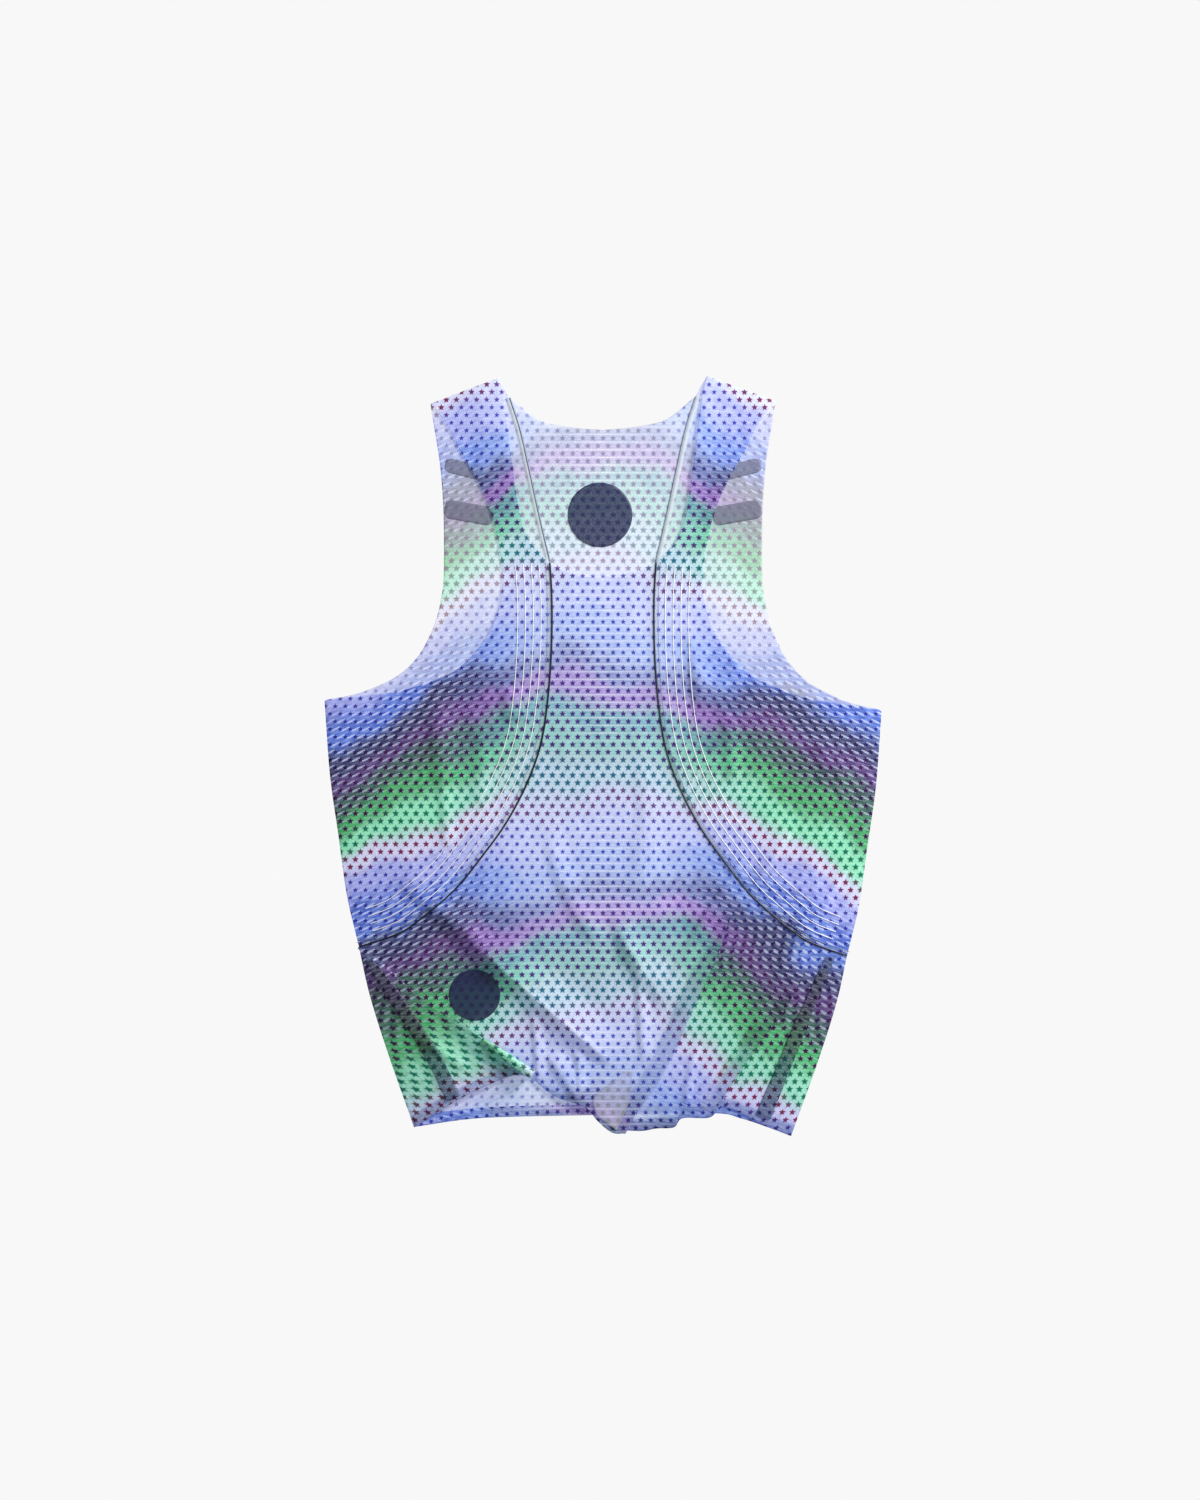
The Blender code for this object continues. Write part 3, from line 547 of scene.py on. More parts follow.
# ---------------------------------------------------------------- the print
# An ordinary shaded print: soft arched bands of ink, one below the other, over and over again.
#   width            of the band, down the middle line
#   ground, stars    colours
#   star             star size in mm, tip to tip
#   dashes           strength of the dark stripes and pale dashes, 0 to 1
#   core             strength of the dark dot in each star, 0 to 1
BANDS = [
    # width, ground,   stars,   star, dashes, core
    (0.028, "c3caf4", "5a50c0", 4.4, 0.45, 0.0),
    (0.036, "76a0ea", "3444bc", 4.4, 1.00, 0.0),
    (0.020, "26388e", "30126a", 5.0, 1.00, 0.0),
    (0.018, "6a2ca0", "561070", 5.2, 0.80, 0.0),
    (0.024, "087868", "400c5c", 5.4, 0.80, 0.0),
    (0.024, "28cc78", "4c0c5c", 5.6, 0.40, 0.0),
    (0.028, "aef0d6", "1ca470", 6.2, 0.00, 0.6),
    (0.022, "e4e6f8", "98346c", 5.6, 0.00, 0.0),
]
BAND_EDGE = 0.28                        # share of a band's width that shades into each neighbour
BAND_SLOPE = 0.50                       # far from the middle the bands fall this steeply
BAND_ROUND = 0.085                      # half width of the arch over the middle line
BAND_TOP = 0.400                        # height on the middle line where the first band starts
THIN = {"ground": "dde4f6", "stars": "7c8cdc"}   # what thin ink tends to
THIN_STRENGTH = 0.16                    # the ink's strength down the middle
FULL_FROM, FULL_AT = 0.050, 0.170       # it grows to full between these distances from the middle
# Waves that make the bands' edges uneven: size, the two wave numbers and the start.
WARP = [(0.0090, 21.0, 11.0, 0.6), (0.0050, 62.0, 27.0, 1.3), (0.0022, 133.0, -84.0, 0.4),
        (0.0012, 380.0, 290.0, 2.1)]


def warped(spots):
    """Plan points moved by a few sine waves, which makes the edges of the bands uneven."""
    moved = spots.copy()
    for size, first, second, start in WARP:
        moved[:, 0] += size * np.sin(spots[:, 1] * first + spots[:, 0] * second + start)
        moved[:, 1] += size * np.sin(spots[:, 0] * first - spots[:, 1] * second + 2.0 * start)
    return moved


def print_fields(flat):
    """Ground colour, star colour and motif (star mm, dashes, slant, core) at flat coordinates."""
    spots = warped(flat)
    down = BAND_TOP - spots[:, 1] - BAND_SLOPE * np.hypot(spots[:, 0], BAND_ROUND)
    widths = np.array([band[0] for band in BANDS])
    knots = (np.cumsum(widths)[:, None] - np.outer(widths, (1.0 - BAND_EDGE, BAND_EDGE))).ravel()
    rows = [[*linear(ground)[:3], *linear(stars)[:3], *motif] for _, ground, stars, *motif in BANDS]
    values = np.repeat(rows, 2, axis=0)
    fields = np.column_stack([np.interp(down, knots, column, period=widths.sum()) for column in values.T])
    grown = smoothstep((np.abs(flat[:, :1]) - FULL_FROM) / (FULL_AT - FULL_FROM))
    strength = blend(THIN_STRENGTH, 1.0, grown)
    paper, faint = (np.array(linear(THIN[name])[:3]) for name in ("ground", "stars"))
    ground = paper * (fields[:, :3] / paper) ** strength       # thin ink passes light as a power of full ink
    stars = faint * (fields[:, 3:6] / faint) ** np.sqrt(strength)
    slant = -np.arctan(BAND_SLOPE * flat[:, 0] / np.hypot(flat[:, 0], BAND_ROUND))
    return ground, stars, np.column_stack([fields[:, 6], fields[:, 7] * strength[:, 0], slant, fields[:, 8]])


# ---------------------------------------------------------------- meshes
def put(mesh, name):
    """Object of that name holding the mesh, in the collection of the singlet's pieces."""
    collection = bpy.data.collections.get("singlet_looks")
    if collection is None:
        collection = bpy.data.collections.new("singlet_looks")
        bpy.context.scene.collection.children.link(collection)
    obj = bpy.data.objects.new(name, mesh)
    collection.objects.link(obj)
    return obj


def grid_mesh(name, rows, flats, painted_shades=1.0):
    """Mesh of quads between rows of 3-D points, with the print's fields on its vertices.

    Painted shades darken the print's ground, stars and dashes where further plies lie right below, on the
    pleats and along the flap's folded edge.
    """
    count = len(rows[0])
    verts = np.vstack(rows)
    flat = np.vstack(flats)
    starts = (np.arange(len(rows) - 1)[:, None] * count + np.arange(count - 1)).ravel()
    faces = np.column_stack([starts + count, starts + count + 1, starts + 1, starts])
    mesh = bpy.data.meshes.new(name)
    mesh.from_pydata(verts.tolist(), [], faces.tolist())
    ground, stars, motif = print_fields(flat)
    ones = np.ones(len(flat))
    painted_shades = np.broadcast_to(painted_shades, ground.shape)
    # The painted shade dims the pale dashes too.
    motif[:, 1] *= painted_shades.mean(axis=1)
    # The ground and stars attributes carry the print with the painted shade in it.
    for label, kind, field, values in (
            ("flat", "FLOAT_VECTOR", "vector", np.column_stack([flat, 0.0 * ones])),
            ("ground", "FLOAT_COLOR", "color", np.column_stack([ground * painted_shades, ones])),
            ("stars", "FLOAT_COLOR", "color", np.column_stack([stars * painted_shades, ones])),
            ("motif", "FLOAT_COLOR", "color", motif)):
        attribute = mesh.attributes.new(label, kind, "POINT")
        attribute.data.foreach_set(field, values.astype(np.float32).ravel())
    shape = bmesh.new()
    shape.from_mesh(mesh)
    bmesh.ops.remove_doubles(shape, verts=shape.verts, dist=SAME_POINT)
    bmesh.ops.dissolve_degenerate(shape, edges=shape.edges, dist=SAME_POINT / 4)
    shape.to_mesh(mesh)
    shape.free()
    mesh.shade_smooth()
    return mesh


def plain_mesh(obj):
    """Replace the object's data with its evaluated mesh, and drop its modifiers."""
    graph = bpy.context.evaluated_depsgraph_get()
    mesh = bpy.data.meshes.new_from_object(obj.evaluated_get(graph), depsgraph=graph)
    name = obj.name
    obj.modifiers.clear()
    obj.data = mesh
    mesh.name = name
    return obj


def cloth_shell(mesh, name, materials, thickness):
    """Closed thin shell about the surface: the first material above, the second below."""
    obj = put(mesh, name)
    for material in materials:
        mesh.materials.append(material)
    wall = obj.modifiers.new("Wall", "SOLIDIFY")
    wall.thickness = thickness
    wall.offset = 0.0
    wall.use_quality_normals = True
    wall.material_offset = 1
    wall.material_offset_rim = 0
    return plain_mesh(obj)


# ---------------------------------------------------------------- materials
WRONG_SIDE_TINT = 0.80                  # of the ink's tint, at the face that wasn't printed
STAR_TINT = 0.95                        # share of its colour that a star gives to the light through it
STAR_GROWTH = 1.12                      # the ink spreads this far beyond the drawn star
HALF_POINT = math.pi / 5                # half the angle of a star's point
# Soft edges: how steeply each rises with its measure, and its value where that is 0.
DOT_EDGE = (-1.2, 1.7)                  # with the distance from a star's middle in mm
LENS_EDGE = (-2.2, 2.7)                 # with the distance from a dash's middle, 1 at its rim
LENS_POWER = 4.0                        # the larger, the blunter the dash
STRIPE_EDGE = (11.0, -4.0)              # with the distance from a row's middle as a share of the pitch
STRIPE_LEVEL = (-2.0, 1.0)              # with the slant
STRIPE_STRENGTH = (12.0, -0.3)          # with the dashes' strength
STRIPE_INK, STRIPE_PALE = 0.6, 0.9      # star colour in a dark stripe, undyed knit in a pale one
PATCH_EDGE = (5.0, -2.2)                # with the noise
PATCH_INK = 0.32                        # share of the stars' colour in a patch
STROKE_EDGE = (4.5, -1.75)              # with the noise
STROKE_SLANT = -0.5                     # the strokes follow this much of the dashes' slant
STROKE_DEPTH = (0.45, 0.10)             # how deep a stroke is, with the dashes' strength
STROKE_PALE = 0.16                      # share of undyed knit between strokes
DASH_PALE = 0.74                        # share of the dash's own colour in it
GRAIN_STRETCH = (1.0, 1.6, 1.0)         # the mesh's unevenness is shorter along the garment
GRAIN_SHADE = (0.5, 0.75)               # with the noise
WALE_PERIOD = 0.314                     # of the wave texture where its scale is 1
CRINKLE_TURN, CRINKLE_STRETCH = 0.5, (1.0, 0.45, 1.0)
MOTTLE, MOTTLE_SIZE = 0.8, 0.4 * MM     # of threads and film: their darkest share, and its grain


def node(tree, kind, values=(), **settings):
    """Add a node with its settings; values fill its open inputs in turn, or by name from a dict."""
    new = tree.nodes.new(kind)
    for key, value in settings.items():
        setattr(new, key, value)
    sockets = [s for s in new.inputs if s.enabled]
    pairs = values.items() if isinstance(values, dict) else enumerate(values)
    for key, value in pairs:
        socket = new.inputs[key] if isinstance(key, str) else sockets[key]
        if isinstance(value, bpy.types.Node):
            value = [s for s in value.outputs if s.enabled][0]
        if isinstance(value, bpy.types.NodeSocket):
            tree.links.new(value, socket)
        elif value is not None:
            socket.default_value = value
    return new


def new_material(name):
    """Empty node material and its tree."""
    material = bpy.data.materials.new(name)
    material.use_nodes = True
    material.node_tree.nodes.clear()
    return material, material.node_tree


# Words in a step that aren't a plain maths operation: node kind and settings.
WORDS = {
    "EDGE": ("ShaderNodeMath", {"operation": "MULTIPLY_ADD", "use_clamp": True}),
    "VECTOR": ("ShaderNodeCombineXYZ", {}),
    "LENGTH": ("ShaderNodeVectorMath", {"operation": "LENGTH"}),
    "NOISE": ("ShaderNodeTexNoise", {"noise_dimensions": "2D"}),
    "MIX": ("ShaderNodeMix", {"data_type": "RGBA"}),
    "DEEPEN": ("ShaderNodeMix", {"data_type": "RGBA", "blend_type": "MULTIPLY"}),
}


def print_steps(sizes):
    """Steps that draw the print: result, word, inputs. Lengths within a cell are in mm."""
    waist = sizes.star_waist
    slope = (1.0 - waist * math.cos(HALF_POINT)) / (waist * math.sin(HALF_POINT))
    return [
        # Staggered cells: every other row moves by half a pitch.
        ("row", "DIVIDE", "y", sizes.row_pitch),
        ("odd", "FLOOR", "row"),
        ("odd", "FLOORED_MODULO", "odd", 2.0),
        ("column", "DIVIDE", "x", sizes.star_pitch),
        ("column", "MULTIPLY_ADD", "odd", 0.5, "column"),
        ("in_row", "FRACT", "row"),
        ("in_row", "SUBTRACT", "in_row", 0.5),
        ("up", "MULTIPLY", "in_row", sizes.row_pitch / MM),
        ("across", "FRACT", "column"),
        ("across", "SUBTRACT", "across", 0.5),
        ("across", "MULTIPLY", "across", sizes.star_pitch / MM),
        ("beside", "ADD", "column", 0.5),
        ("beside", "FRACT", "beside"),
        ("beside", "SUBTRACT", "beside", 0.5),
        ("beside", "MULTIPLY", "beside", sizes.star_pitch / MM),
        # Five-pointed star: the angle is folded onto half a point, whose edge is a straight line.
        ("turn", "ARCTAN2", "across", "up"),
        ("turn", "PINGPONG", "turn", HALF_POINT),
        ("rise", "SINE", "turn"),
        ("turn", "COSINE", "turn"),
        ("rise", "MULTIPLY_ADD", "rise", slope, "turn"),
        ("away", "VECTOR", "across", "up"),
        ("away", "LENGTH", "away"),
        ("reach", "MULTIPLY", "away", "rise"),
        ("star", "MULTIPLY", "star_size", 0.5 * STAR_GROWTH),
        ("star", "SUBTRACT", "star", "reach"),
        ("star", "EDGE", "star", MM / sizes.ink_bleed, 0.5),
        ("dot", "EDGE", "away", *DOT_EDGE),
        ("dot", "MULTIPLY", "dot", "core"),
        # Pale dash beside each star, turned by the slant: a lens with pointed ends.
        ("cosine", "COSINE", "slant"),
        ("sine", "SINE", "slant"),
        ("long", "MULTIPLY", "up", "sine"),
        ("long", "MULTIPLY_ADD", "beside", "cosine", "long"),
        ("long", "MULTIPLY", "long", 2.0 * MM / sizes.dash_length),
        ("long", "ABSOLUTE", "long"),
        ("long", "POWER", "long", LENS_POWER),
        ("short", "MULTIPLY", "up", "cosine"),
        ("sine", "MULTIPLY", "beside", "sine"),
        ("short", "SUBTRACT", "short", "sine"),
        ("short", "ABSOLUTE", "short"),
        ("lens", "MULTIPLY_ADD", "short", 2.0 * MM / sizes.dash_width, "long"),
        ("lens", "EDGE", "lens", *LENS_EDGE),
        ("pale", "MULTIPLY", "lens", "dashes"),
        # Stripe between two rows, where the dashes lie level: dark among dashes, elsewhere pale.
        ("line", "ABSOLUTE", "in_row"),
        ("line", "EDGE", "line", *STRIPE_EDGE),
        ("level", "ABSOLUTE", "slant"),
        ("level", "EDGE", "level", *STRIPE_LEVEL),
        ("line", "MULTIPLY", "line", "level"),
        ("strength", "EDGE", "dashes", *STRIPE_STRENGTH),
        ("line", "MULTIPLY", "line", "strength"),
        ("deep", "MIX", STRIPE_INK, "ground", "stars"),
        ("paler", "MIX", STRIPE_PALE, "ground", "undyed"),
        ("stripe", "MIX", "dashes", "paler", "deep"),
        # Slow patches where more of the stars' ink lies between the dashes.
        ("patch", "NOISE", "flat", 1.0 / sizes.patches, 1.0),
        ("patch", "EDGE", "patch", *PATCH_EDGE),
        ("patch", "MULTIPLY", "patch", "dashes"),
        ("patch", "MULTIPLY", "patch", PATCH_INK),
        # Fine uneven strokes of ink that follow the slant, strongest among the dashes.
        ("bend", "TANGENT", "slant"),
        ("bend", "MULTIPLY", "bend", STROKE_SLANT),
        ("bend", "MULTIPLY_ADD", "bend", "x", "y"),
        ("drawn", "MULTIPLY", "x", sizes.stroke_width / sizes.stroke_length),
        ("strokes", "VECTOR", "drawn", "bend"),
        ("strokes", "NOISE", "strokes", 1.0 / sizes.stroke_width, 1.0),
        ("strokes", "EDGE", "strokes", *STROKE_EDGE),
        ("amount", "MULTIPLY_ADD", "dashes", *STROKE_DEPTH),
        ("deeper", "DEEPEN", "amount", "ground", "ground"),
        ("lighter", "MIX", STROKE_PALE, "ground", "undyed"),
        # The colour, from the ground up.
        ("colour", "MIX", "strokes", "lighter", "deeper"),
        ("colour", "MIX", "patch", "colour", "stars"),
        ("colour", "MIX", "line", "colour", "stripe"),
        ("bare", "MIX", DASH_PALE, "ground", "dash_colour"),
        ("colour", "MIX", "pale", "colour", "bare"),
        ("colour", "MIX", "star", "colour", "stars"),
        ("colour", "MIX", "dot", "colour", "core_colour"),
    ]


def print_group(sizes):
    """Group that draws the print at a vertex's flat coordinates: its colour, and where stars are."""
    name = "Sublimated star print"
    if bpy.data.node_groups.get(name):
        return bpy.data.node_groups[name]
    tree = bpy.data.node_groups.new(name, "ShaderNodeTree")
    tree.interface.new_socket("Color", in_out="OUTPUT", socket_type="NodeSocketColor")
    tree.interface.new_socket("Star", in_out="OUTPUT", socket_type="NodeSocketFloat")
    made = {key: linear(getattr(sizes, key)) for key in ("undyed", "dash_colour", "core_colour")}
    for key in ("ground", "stars", "flat", "motif"):
        made[key] = node(tree, "ShaderNodeAttribute", attribute_name=key)
    made["core"] = made["motif"].outputs["Alpha"]
    for source, keys in (("flat", ("x", "y", "z")), ("motif", ("star_size", "dashes", "slant"))):
        made[source] = made[source].outputs["Vector"]
        made.update(zip(keys, node(tree, "ShaderNodeSeparateXYZ", [made[source]]).outputs))
    for result, word, *given in print_steps(sizes):
        kind, settings = WORDS.get(word, ("ShaderNodeMath", {"operation": word}))
        values = [made[value] if isinstance(value, str) else value for value in given]
        made[result] = node(tree, kind, values, **settings)
    node(tree, "NodeGroupOutput", [made["colour"], made["star"]])
    return tree


def knit_material(name, printed, sizes):
    """Sheer polyester warp knit, sublimation printed on one side.

    The ink sits in the fibre, so it tints the light that passes as well as what is reflected.
    The other side shows the print only as a pale bleed. The mesh is drawn coarser than its real
    0.5 mm holes, which are too fine to show.
    """
    material, tree = new_material(name)
    maths, noise = "ShaderNodeMath", "ShaderNodeTexNoise"
    undyed = linear(sizes.undyed)
    colour, star = node(tree, "ShaderNodeGroup", node_tree=print_group(sizes)).outputs
    flat = node(tree, "ShaderNodeAttribute", attribute_name="flat").outputs["Vector"]
    grain = node(tree, "ShaderNodeMapping", {"Vector": flat, "Scale": GRAIN_STRETCH})
    grain = node(tree, noise, [grain, 1.0 / sizes.mesh_grain, 1.0], noise_dimensions="2D")
    uneven = node(tree, maths, [grain, *GRAIN_SHADE], operation="MULTIPLY_ADD")
    shade = node(tree, "ShaderNodeCombineColor", [uneven, uneven, uneven])
    face = colour
    if not printed:
        face = node(tree, "ShaderNodeMix", [sizes.bleed_through, undyed, colour], data_type="RGBA")
    face = node(tree, "ShaderNodeMix", [1.0, face, shade], data_type="RGBA", blend_type="MULTIPLY")
    wales = node(tree, "ShaderNodeTexWave", {
        "Vector": flat, "Scale": WALE_PERIOD / sizes.mesh_grain, "Distortion": 1.5, "Detail": 0.0,
    }, bands_direction="X")
    crinkle = node(tree, "ShaderNodeMapping", {
        "Vector": flat, "Rotation": (0.0, 0.0, CRINKLE_TURN), "Scale": CRINKLE_STRETCH})
    crinkle = node(tree, noise, [crinkle, 1.0 / sizes.crinkle, 2.0, 0.45], noise_dimensions="2D")
    bump = node(tree, "ShaderNodeBump", {
        "Strength": 1.0, "Distance": sizes.crinkle_depth, "Height": crinkle})
    bump = node(tree, "ShaderNodeBump", {
        "Strength": 0.25, "Distance": 0.1 * MM, "Height": wales, "Normal": bump})
    cloth = node(tree, "ShaderNodeBsdfPrincipled", {
        "Base Color": face, "Roughness": 0.62, "IOR": 1.5, "Normal": bump,
        "Sheen Weight": 0.12, "Sheen Roughness": 0.4,
    })
    tint, cover = sizes.ink_tint * WRONG_SIDE_TINT, sizes.wrong_side_cover
    if printed:
        tint, cover = sizes.ink_tint, sizes.print_cover
        tint = node(tree, maths, [star, STAR_TINT - tint, tint], operation="MULTIPLY_ADD")
    tint = node(tree, "ShaderNodeMix", [tint, linear("ffffff"), colour], data_type="RGBA")
    clear = node(tree, "ShaderNodeBsdfTransparent", [tint])
    shadow = node(tree, "ShaderNodeLightPath").outputs["Is Shadow Ray"]
    cover = node(tree, maths, [shadow, -cover * sizes.forward_scatter, cover], operation="MULTIPLY_ADD")
    node(tree, "ShaderNodeOutputMaterial", [node(tree, "ShaderNodeMixShader", [cover, clear, cloth])])
    return material


def solid_material(name, code, roughness, cover=1.0):
    """Matt material with a fine mottle, sheer where cover is below 1."""
    material, tree = new_material(name)
    place = node(tree, "ShaderNodeTexCoord").outputs["Object"]
    noise = node(tree, "ShaderNodeTexNoise", {"Vector": place, "Scale": 1.0 / MOTTLE_SIZE, "Detail": 2.0})
    low = [c * MOTTLE for c in linear(code)[:3]] + [1.0]
    colour = node(tree, "ShaderNodeMix", [noise, low, linear(code)], data_type="RGBA")
    bump = node(tree, "ShaderNodeBump", {"Strength": 0.3, "Distance": 0.05 * MM, "Height": noise})
    face = node(tree, "ShaderNodeBsdfPrincipled", {
        "Base Color": colour, "Roughness": roughness, "Normal": bump, "Alpha": cover,
    })
    node(tree, "ShaderNodeOutputMaterial", {"Surface": face})
    return material


# ---------------------------------------------------------------- sizes and colours
def length(name, default, description):
    """Setting that holds a length."""
    return bpy.props.FloatProperty(name=name, description=description, default=default, unit="LENGTH")


def portion(name, default, description):
    """Setting that holds a share."""
    return bpy.props.FloatProperty(name=name, description=description, default=default, subtype="FACTOR")


def ink(name, default, description):
    """Setting that holds a colour as an sRGB hex code."""
    return bpy.props.StringProperty(
        name=name, description="sRGB hex colour of " + description, default=default)


class SINGLET_PG_cloth(bpy.types.PropertyGroup):
    """Sizes and colours of the printed knit."""
    thickness: length("Thickness", 0.35 * MM, "Thickness of the knit")
    star_pitch: length("Star pitch", 9.05 * MM, "Distance between stars in a row")
    row_pitch: length("Row pitch", 6.86 * MM, "Distance between rows of stars")
    star_waist: portion("Star waist", 0.48, "Inner radius of a star as a share of its outer radius")
    dash_length: length("Dash length", 10.4 * MM, "Length of a pale dash")
    dash_width: length("Dash width", 1.7 * MM, "Width of a pale dash")
    ink_bleed: length("Ink bleed", 0.6 * MM, "Width over which a star's edge fades")
    stroke_width: length("Stroke width", 1.3 * MM, "Width of the fine strokes of ink")
    stroke_length: length("Stroke length", 9.0 * MM, "Length of the fine strokes of ink")
    mesh_grain: length("Mesh grain", 1.6 * MM, "Size of the mesh's unevenness as drawn")
    patches: length("Patches", 13.0 * MM, "Size of the darker patches between the dashes")
    crinkle: length("Crinkle", 26.0 * MM, "Size of the slow unevenness of the laid cloth")
    crinkle_depth: length("Crinkle depth", 2.2 * MM, "Depth of that unevenness")
    dash_colour: ink("Dash colour", "e6edff", "the pale dashes")
    core_colour: ink("Core colour", "2a56a4", "the dots in some stars")
    undyed: ink("Undyed knit", "fafbff", "the knit's wrong side")
    bleed_through: portion("Bleed through", 0.22, "Share of the print that shows on the wrong side")
    ink_tint: portion("Ink tint", 0.62, "Share of the print's colour in the light that passes")
    print_cover: portion("Printed side cover", 0.44, "Share of the light that the printed face stops")
    wrong_side_cover: portion("Wrong side cover", 0.34, "Share of the light that the wrong side stops")
    forward_scatter: portion(
        "Forward scatter", 0.50, "Share of the stopped light that still reaches the next layer")
    turn_up: length("Hem turn-up", 9.5 * MM, "Width of the turned hem")


class SINGLET_PG_seams(bpy.types.PropertyGroup):
    """Sizes and colours of threads, allowances, lines and pressed film."""
    thread_width: length("Thread width", 1.35 * MM, "Width of a seam's line of thread")
    stitch_pitch: length("Stitch pitch", 2.8 * MM, "Distance from stitch to stitch")
    stitch_length: length("Stitch length", 1.9 * MM, "Visible length of a stitch")
    allowance_width: length("Allowance width", 4.0 * MM, "Width of the seam allowance")
    pinstripe_width: length("Pinstripe width", 0.65 * MM, "Width of the pale pinstripes")
    front_thread: ink("Front thread", "0a1424", "the front's seam thread")
    back_thread: ink("Back thread", "8f9cae", "the back's seam thread")
    allowance: ink("Allowance", "e6eef2", "the seam allowance")
    pinstripe: ink("Pinstripe", "ffffff", "the pinstripes")
    film_dark: ink("Dark film", "23265c", "the pressed discs")
    film_grey: ink("Grey film", "84869c", "the pressed bars")


class SINGLET_PG_stage(bpy.types.PropertyGroup):
    """Camera, floor and lamps."""
    camera_height: length("Camera height", 3.173, "Height of the camera over the floor")
    lens: bpy.props.FloatProperty(
        name="Lens", description="Focal length of the camera in mm", default=85.0)
    floor_colour: ink("Floor colour", "f8f8f8", "the floor")
    key_power: bpy.props.FloatProperty(
        name="Key power", description="Power of the key lamp", default=120.0, unit="POWER")
    sky: bpy.props.FloatProperty(
        name="Sky", description="Strength of the even white light", default=0.20)


def cloth_materials():
    """Printed side and wrong side of the knit, made once."""
    sizes = bpy.context.scene.singlet_cloth
    return [bpy.data.materials.get(name) or knit_material(name, printed, sizes)
            for name, printed in (("Knit printed side", True), ("Knit wrong side", False))]


# ---------------------------------------------------------------- trims
PINSTRIPES = (0.010, 0.017, 0.024, 0.031)   # distances of the pale lines beside each front seam
PINSTRIPE_END = 0.96                    # share of the seam's length along which they run
# Pleats of the front at the lower corners: their left and right edges, from the side to the hem.
PLEATS = {
    "left": ([(-0.2130, -0.1790), (-0.2030, -0.2010), (-0.1880, -0.2250), (-0.1720, -0.2500),
              (-0.1560, -0.2760), (-0.1400, -0.3090)],
             [(-0.2100, -0.1785), (-0.1920, -0.1980), (-0.1760, -0.2200), (-0.1600, -0.2440),
              (-0.1440, -0.2690), (-0.1280, -0.3040)]),
    "right": ([(0.1990, -0.1800), (0.1880, -0.2030), (0.1770, -0.2270), (0.1660, -0.2510),
               (0.1560, -0.2760), (0.1370, -0.3200)],
              [(0.2080, -0.1790), (0.1980, -0.2040), (0.1870, -0.2300), (0.1770, -0.2560),
               (0.1670, -0.2820), (0.1500, -0.3250)]),
}
PLEAT_CELLS = (90, 12)                  # cells down and across
PLEAT_LIFT = 0.9 * MM                   # the pleat's own upper ply over the cloth beside it
# painted shade on the pleats' print, for the plies below them
PLEAT_PAINTED_SHADE = (0.20, 0.30, 0.40)
PLEAT_SHIFT = {"left": (-0.048, 0.0), "right": (0.050, 0.0)}   # from plan to flat coordinates
# Flap where the hem's lowest corner is turned back: its left and right edges, from the top down.
HEM_FLAP = ([(0.0187, -0.2820), (0.0060, -0.2930), (-0.0084, -0.3050), (-0.0060, -0.3210)],
            [(0.0262, -0.2822), (0.0250, -0.2950), (0.0225, -0.3120), (0.0120, -0.3350)])
FLAP_CELLS = (60, 40)
FLAP_LENGTH = 1.8                       # the flap's length as a multiple of its width
FLAP_LIFT = 0.6 * MM
FLAP_EDGE = 0.14                        # share of the flap's width taken by its folded edge
FLAP_PAINTED_SHADE = (0.42, 0.52, 0.68)         # painted shade on the print along that edge
# Rolled end of the left fold at the hem: (x, y), and the roll's radius.
HEM_ROLL = [((-0.1080, -0.2530), 1.2 * MM), ((-0.0900, -0.2655), 2.6 * MM),
            ((-0.0750, -0.2765), 3.8 * MM), ((-0.0630, -0.2850), 4.2 * MM)]
ROLL_CELLS = (30, 32)
ROLL_TURNS = (0.15 * math.pi, 2.05 * math.pi)   # angles at which the rolled cloth starts and ends
ROLL_PRINT = (-0.0700, 0.0060)          # from plan to flat coordinates on the roll
# Turned-up hems: share of the turn-up's width, and how far its middle lies from the cloth's.
HEM_STEPS = [(0.0, 0.10 * MM), (0.06, 0.30 * MM), (0.2, 0.45 * MM), (0.6, 0.50 * MM), (1.0, 0.50 * MM)]
HEM_WAY_FROM = 0.92                     # the front's turn-up points towards this share of the folded rows
HEM_THINNESS = 0.8                      # of the knit's thickness: the turn-up is pressed
# Plain heat-pressed shapes. Round ones: name, layer, middle, radius.
DISCS = [("back_disc", "back", (-0.0027, 0.2160), 0.029), ("front_disc", "front", (-0.1150, -0.2140), 0.023)]
# Bars beside the armholes, mirrored: middle, length, width, tilt in degrees.
BARS = [((0.1200, 0.2560), 0.044, 0.013, -14.0), ((0.1200, 0.2180), 0.044, 0.017, -10.0)]
DISC_CELLS = (14, 96)                   # rings, and cells around
BAR_CELLS = (8, 24)
BAR_ROUND, BAR_POWER = 0.22, 6          # share of a bar's length lost at its corners, and their power
# Panels with what they lie on, and the trims on each.
PANELS = {
    "back_centre_cloth": ([], ["back_hem_turn_up", "back_disc"]),
    "front_centre_cloth": (["back_centre_cloth"], [
        "front_hem_turn_up", "front_pleat_left", "front_pleat_right", "front_hem_flap", "front_hem_roll",
        "front_disc", "front_seam_thread_left", "front_seam_thread_right"]),
}
for _side in ("left", "right"):
    PANELS[f"back_side_{_side}_cloth"] = ([], [
        f"back_seam_thread_{_side}", f"back_seam_allowance_{_side}", f"back_bar_{_side}_1",
        f"back_bar_{_side}_2"])
    PANELS[f"front_side_{_side}_cloth"] = ([f"back_side_{_side}_cloth"], [
        f"front_seam_stitches_{_side}", f"front_seam_allowance_{_side}", f"pinstripes_{_side}"])
PRESSED = 0.12 * MM                     # thickness of the pressed film and of the raised lines
RAISED = 0.28 * MM                      # trims lie this far over the middle of the cloth
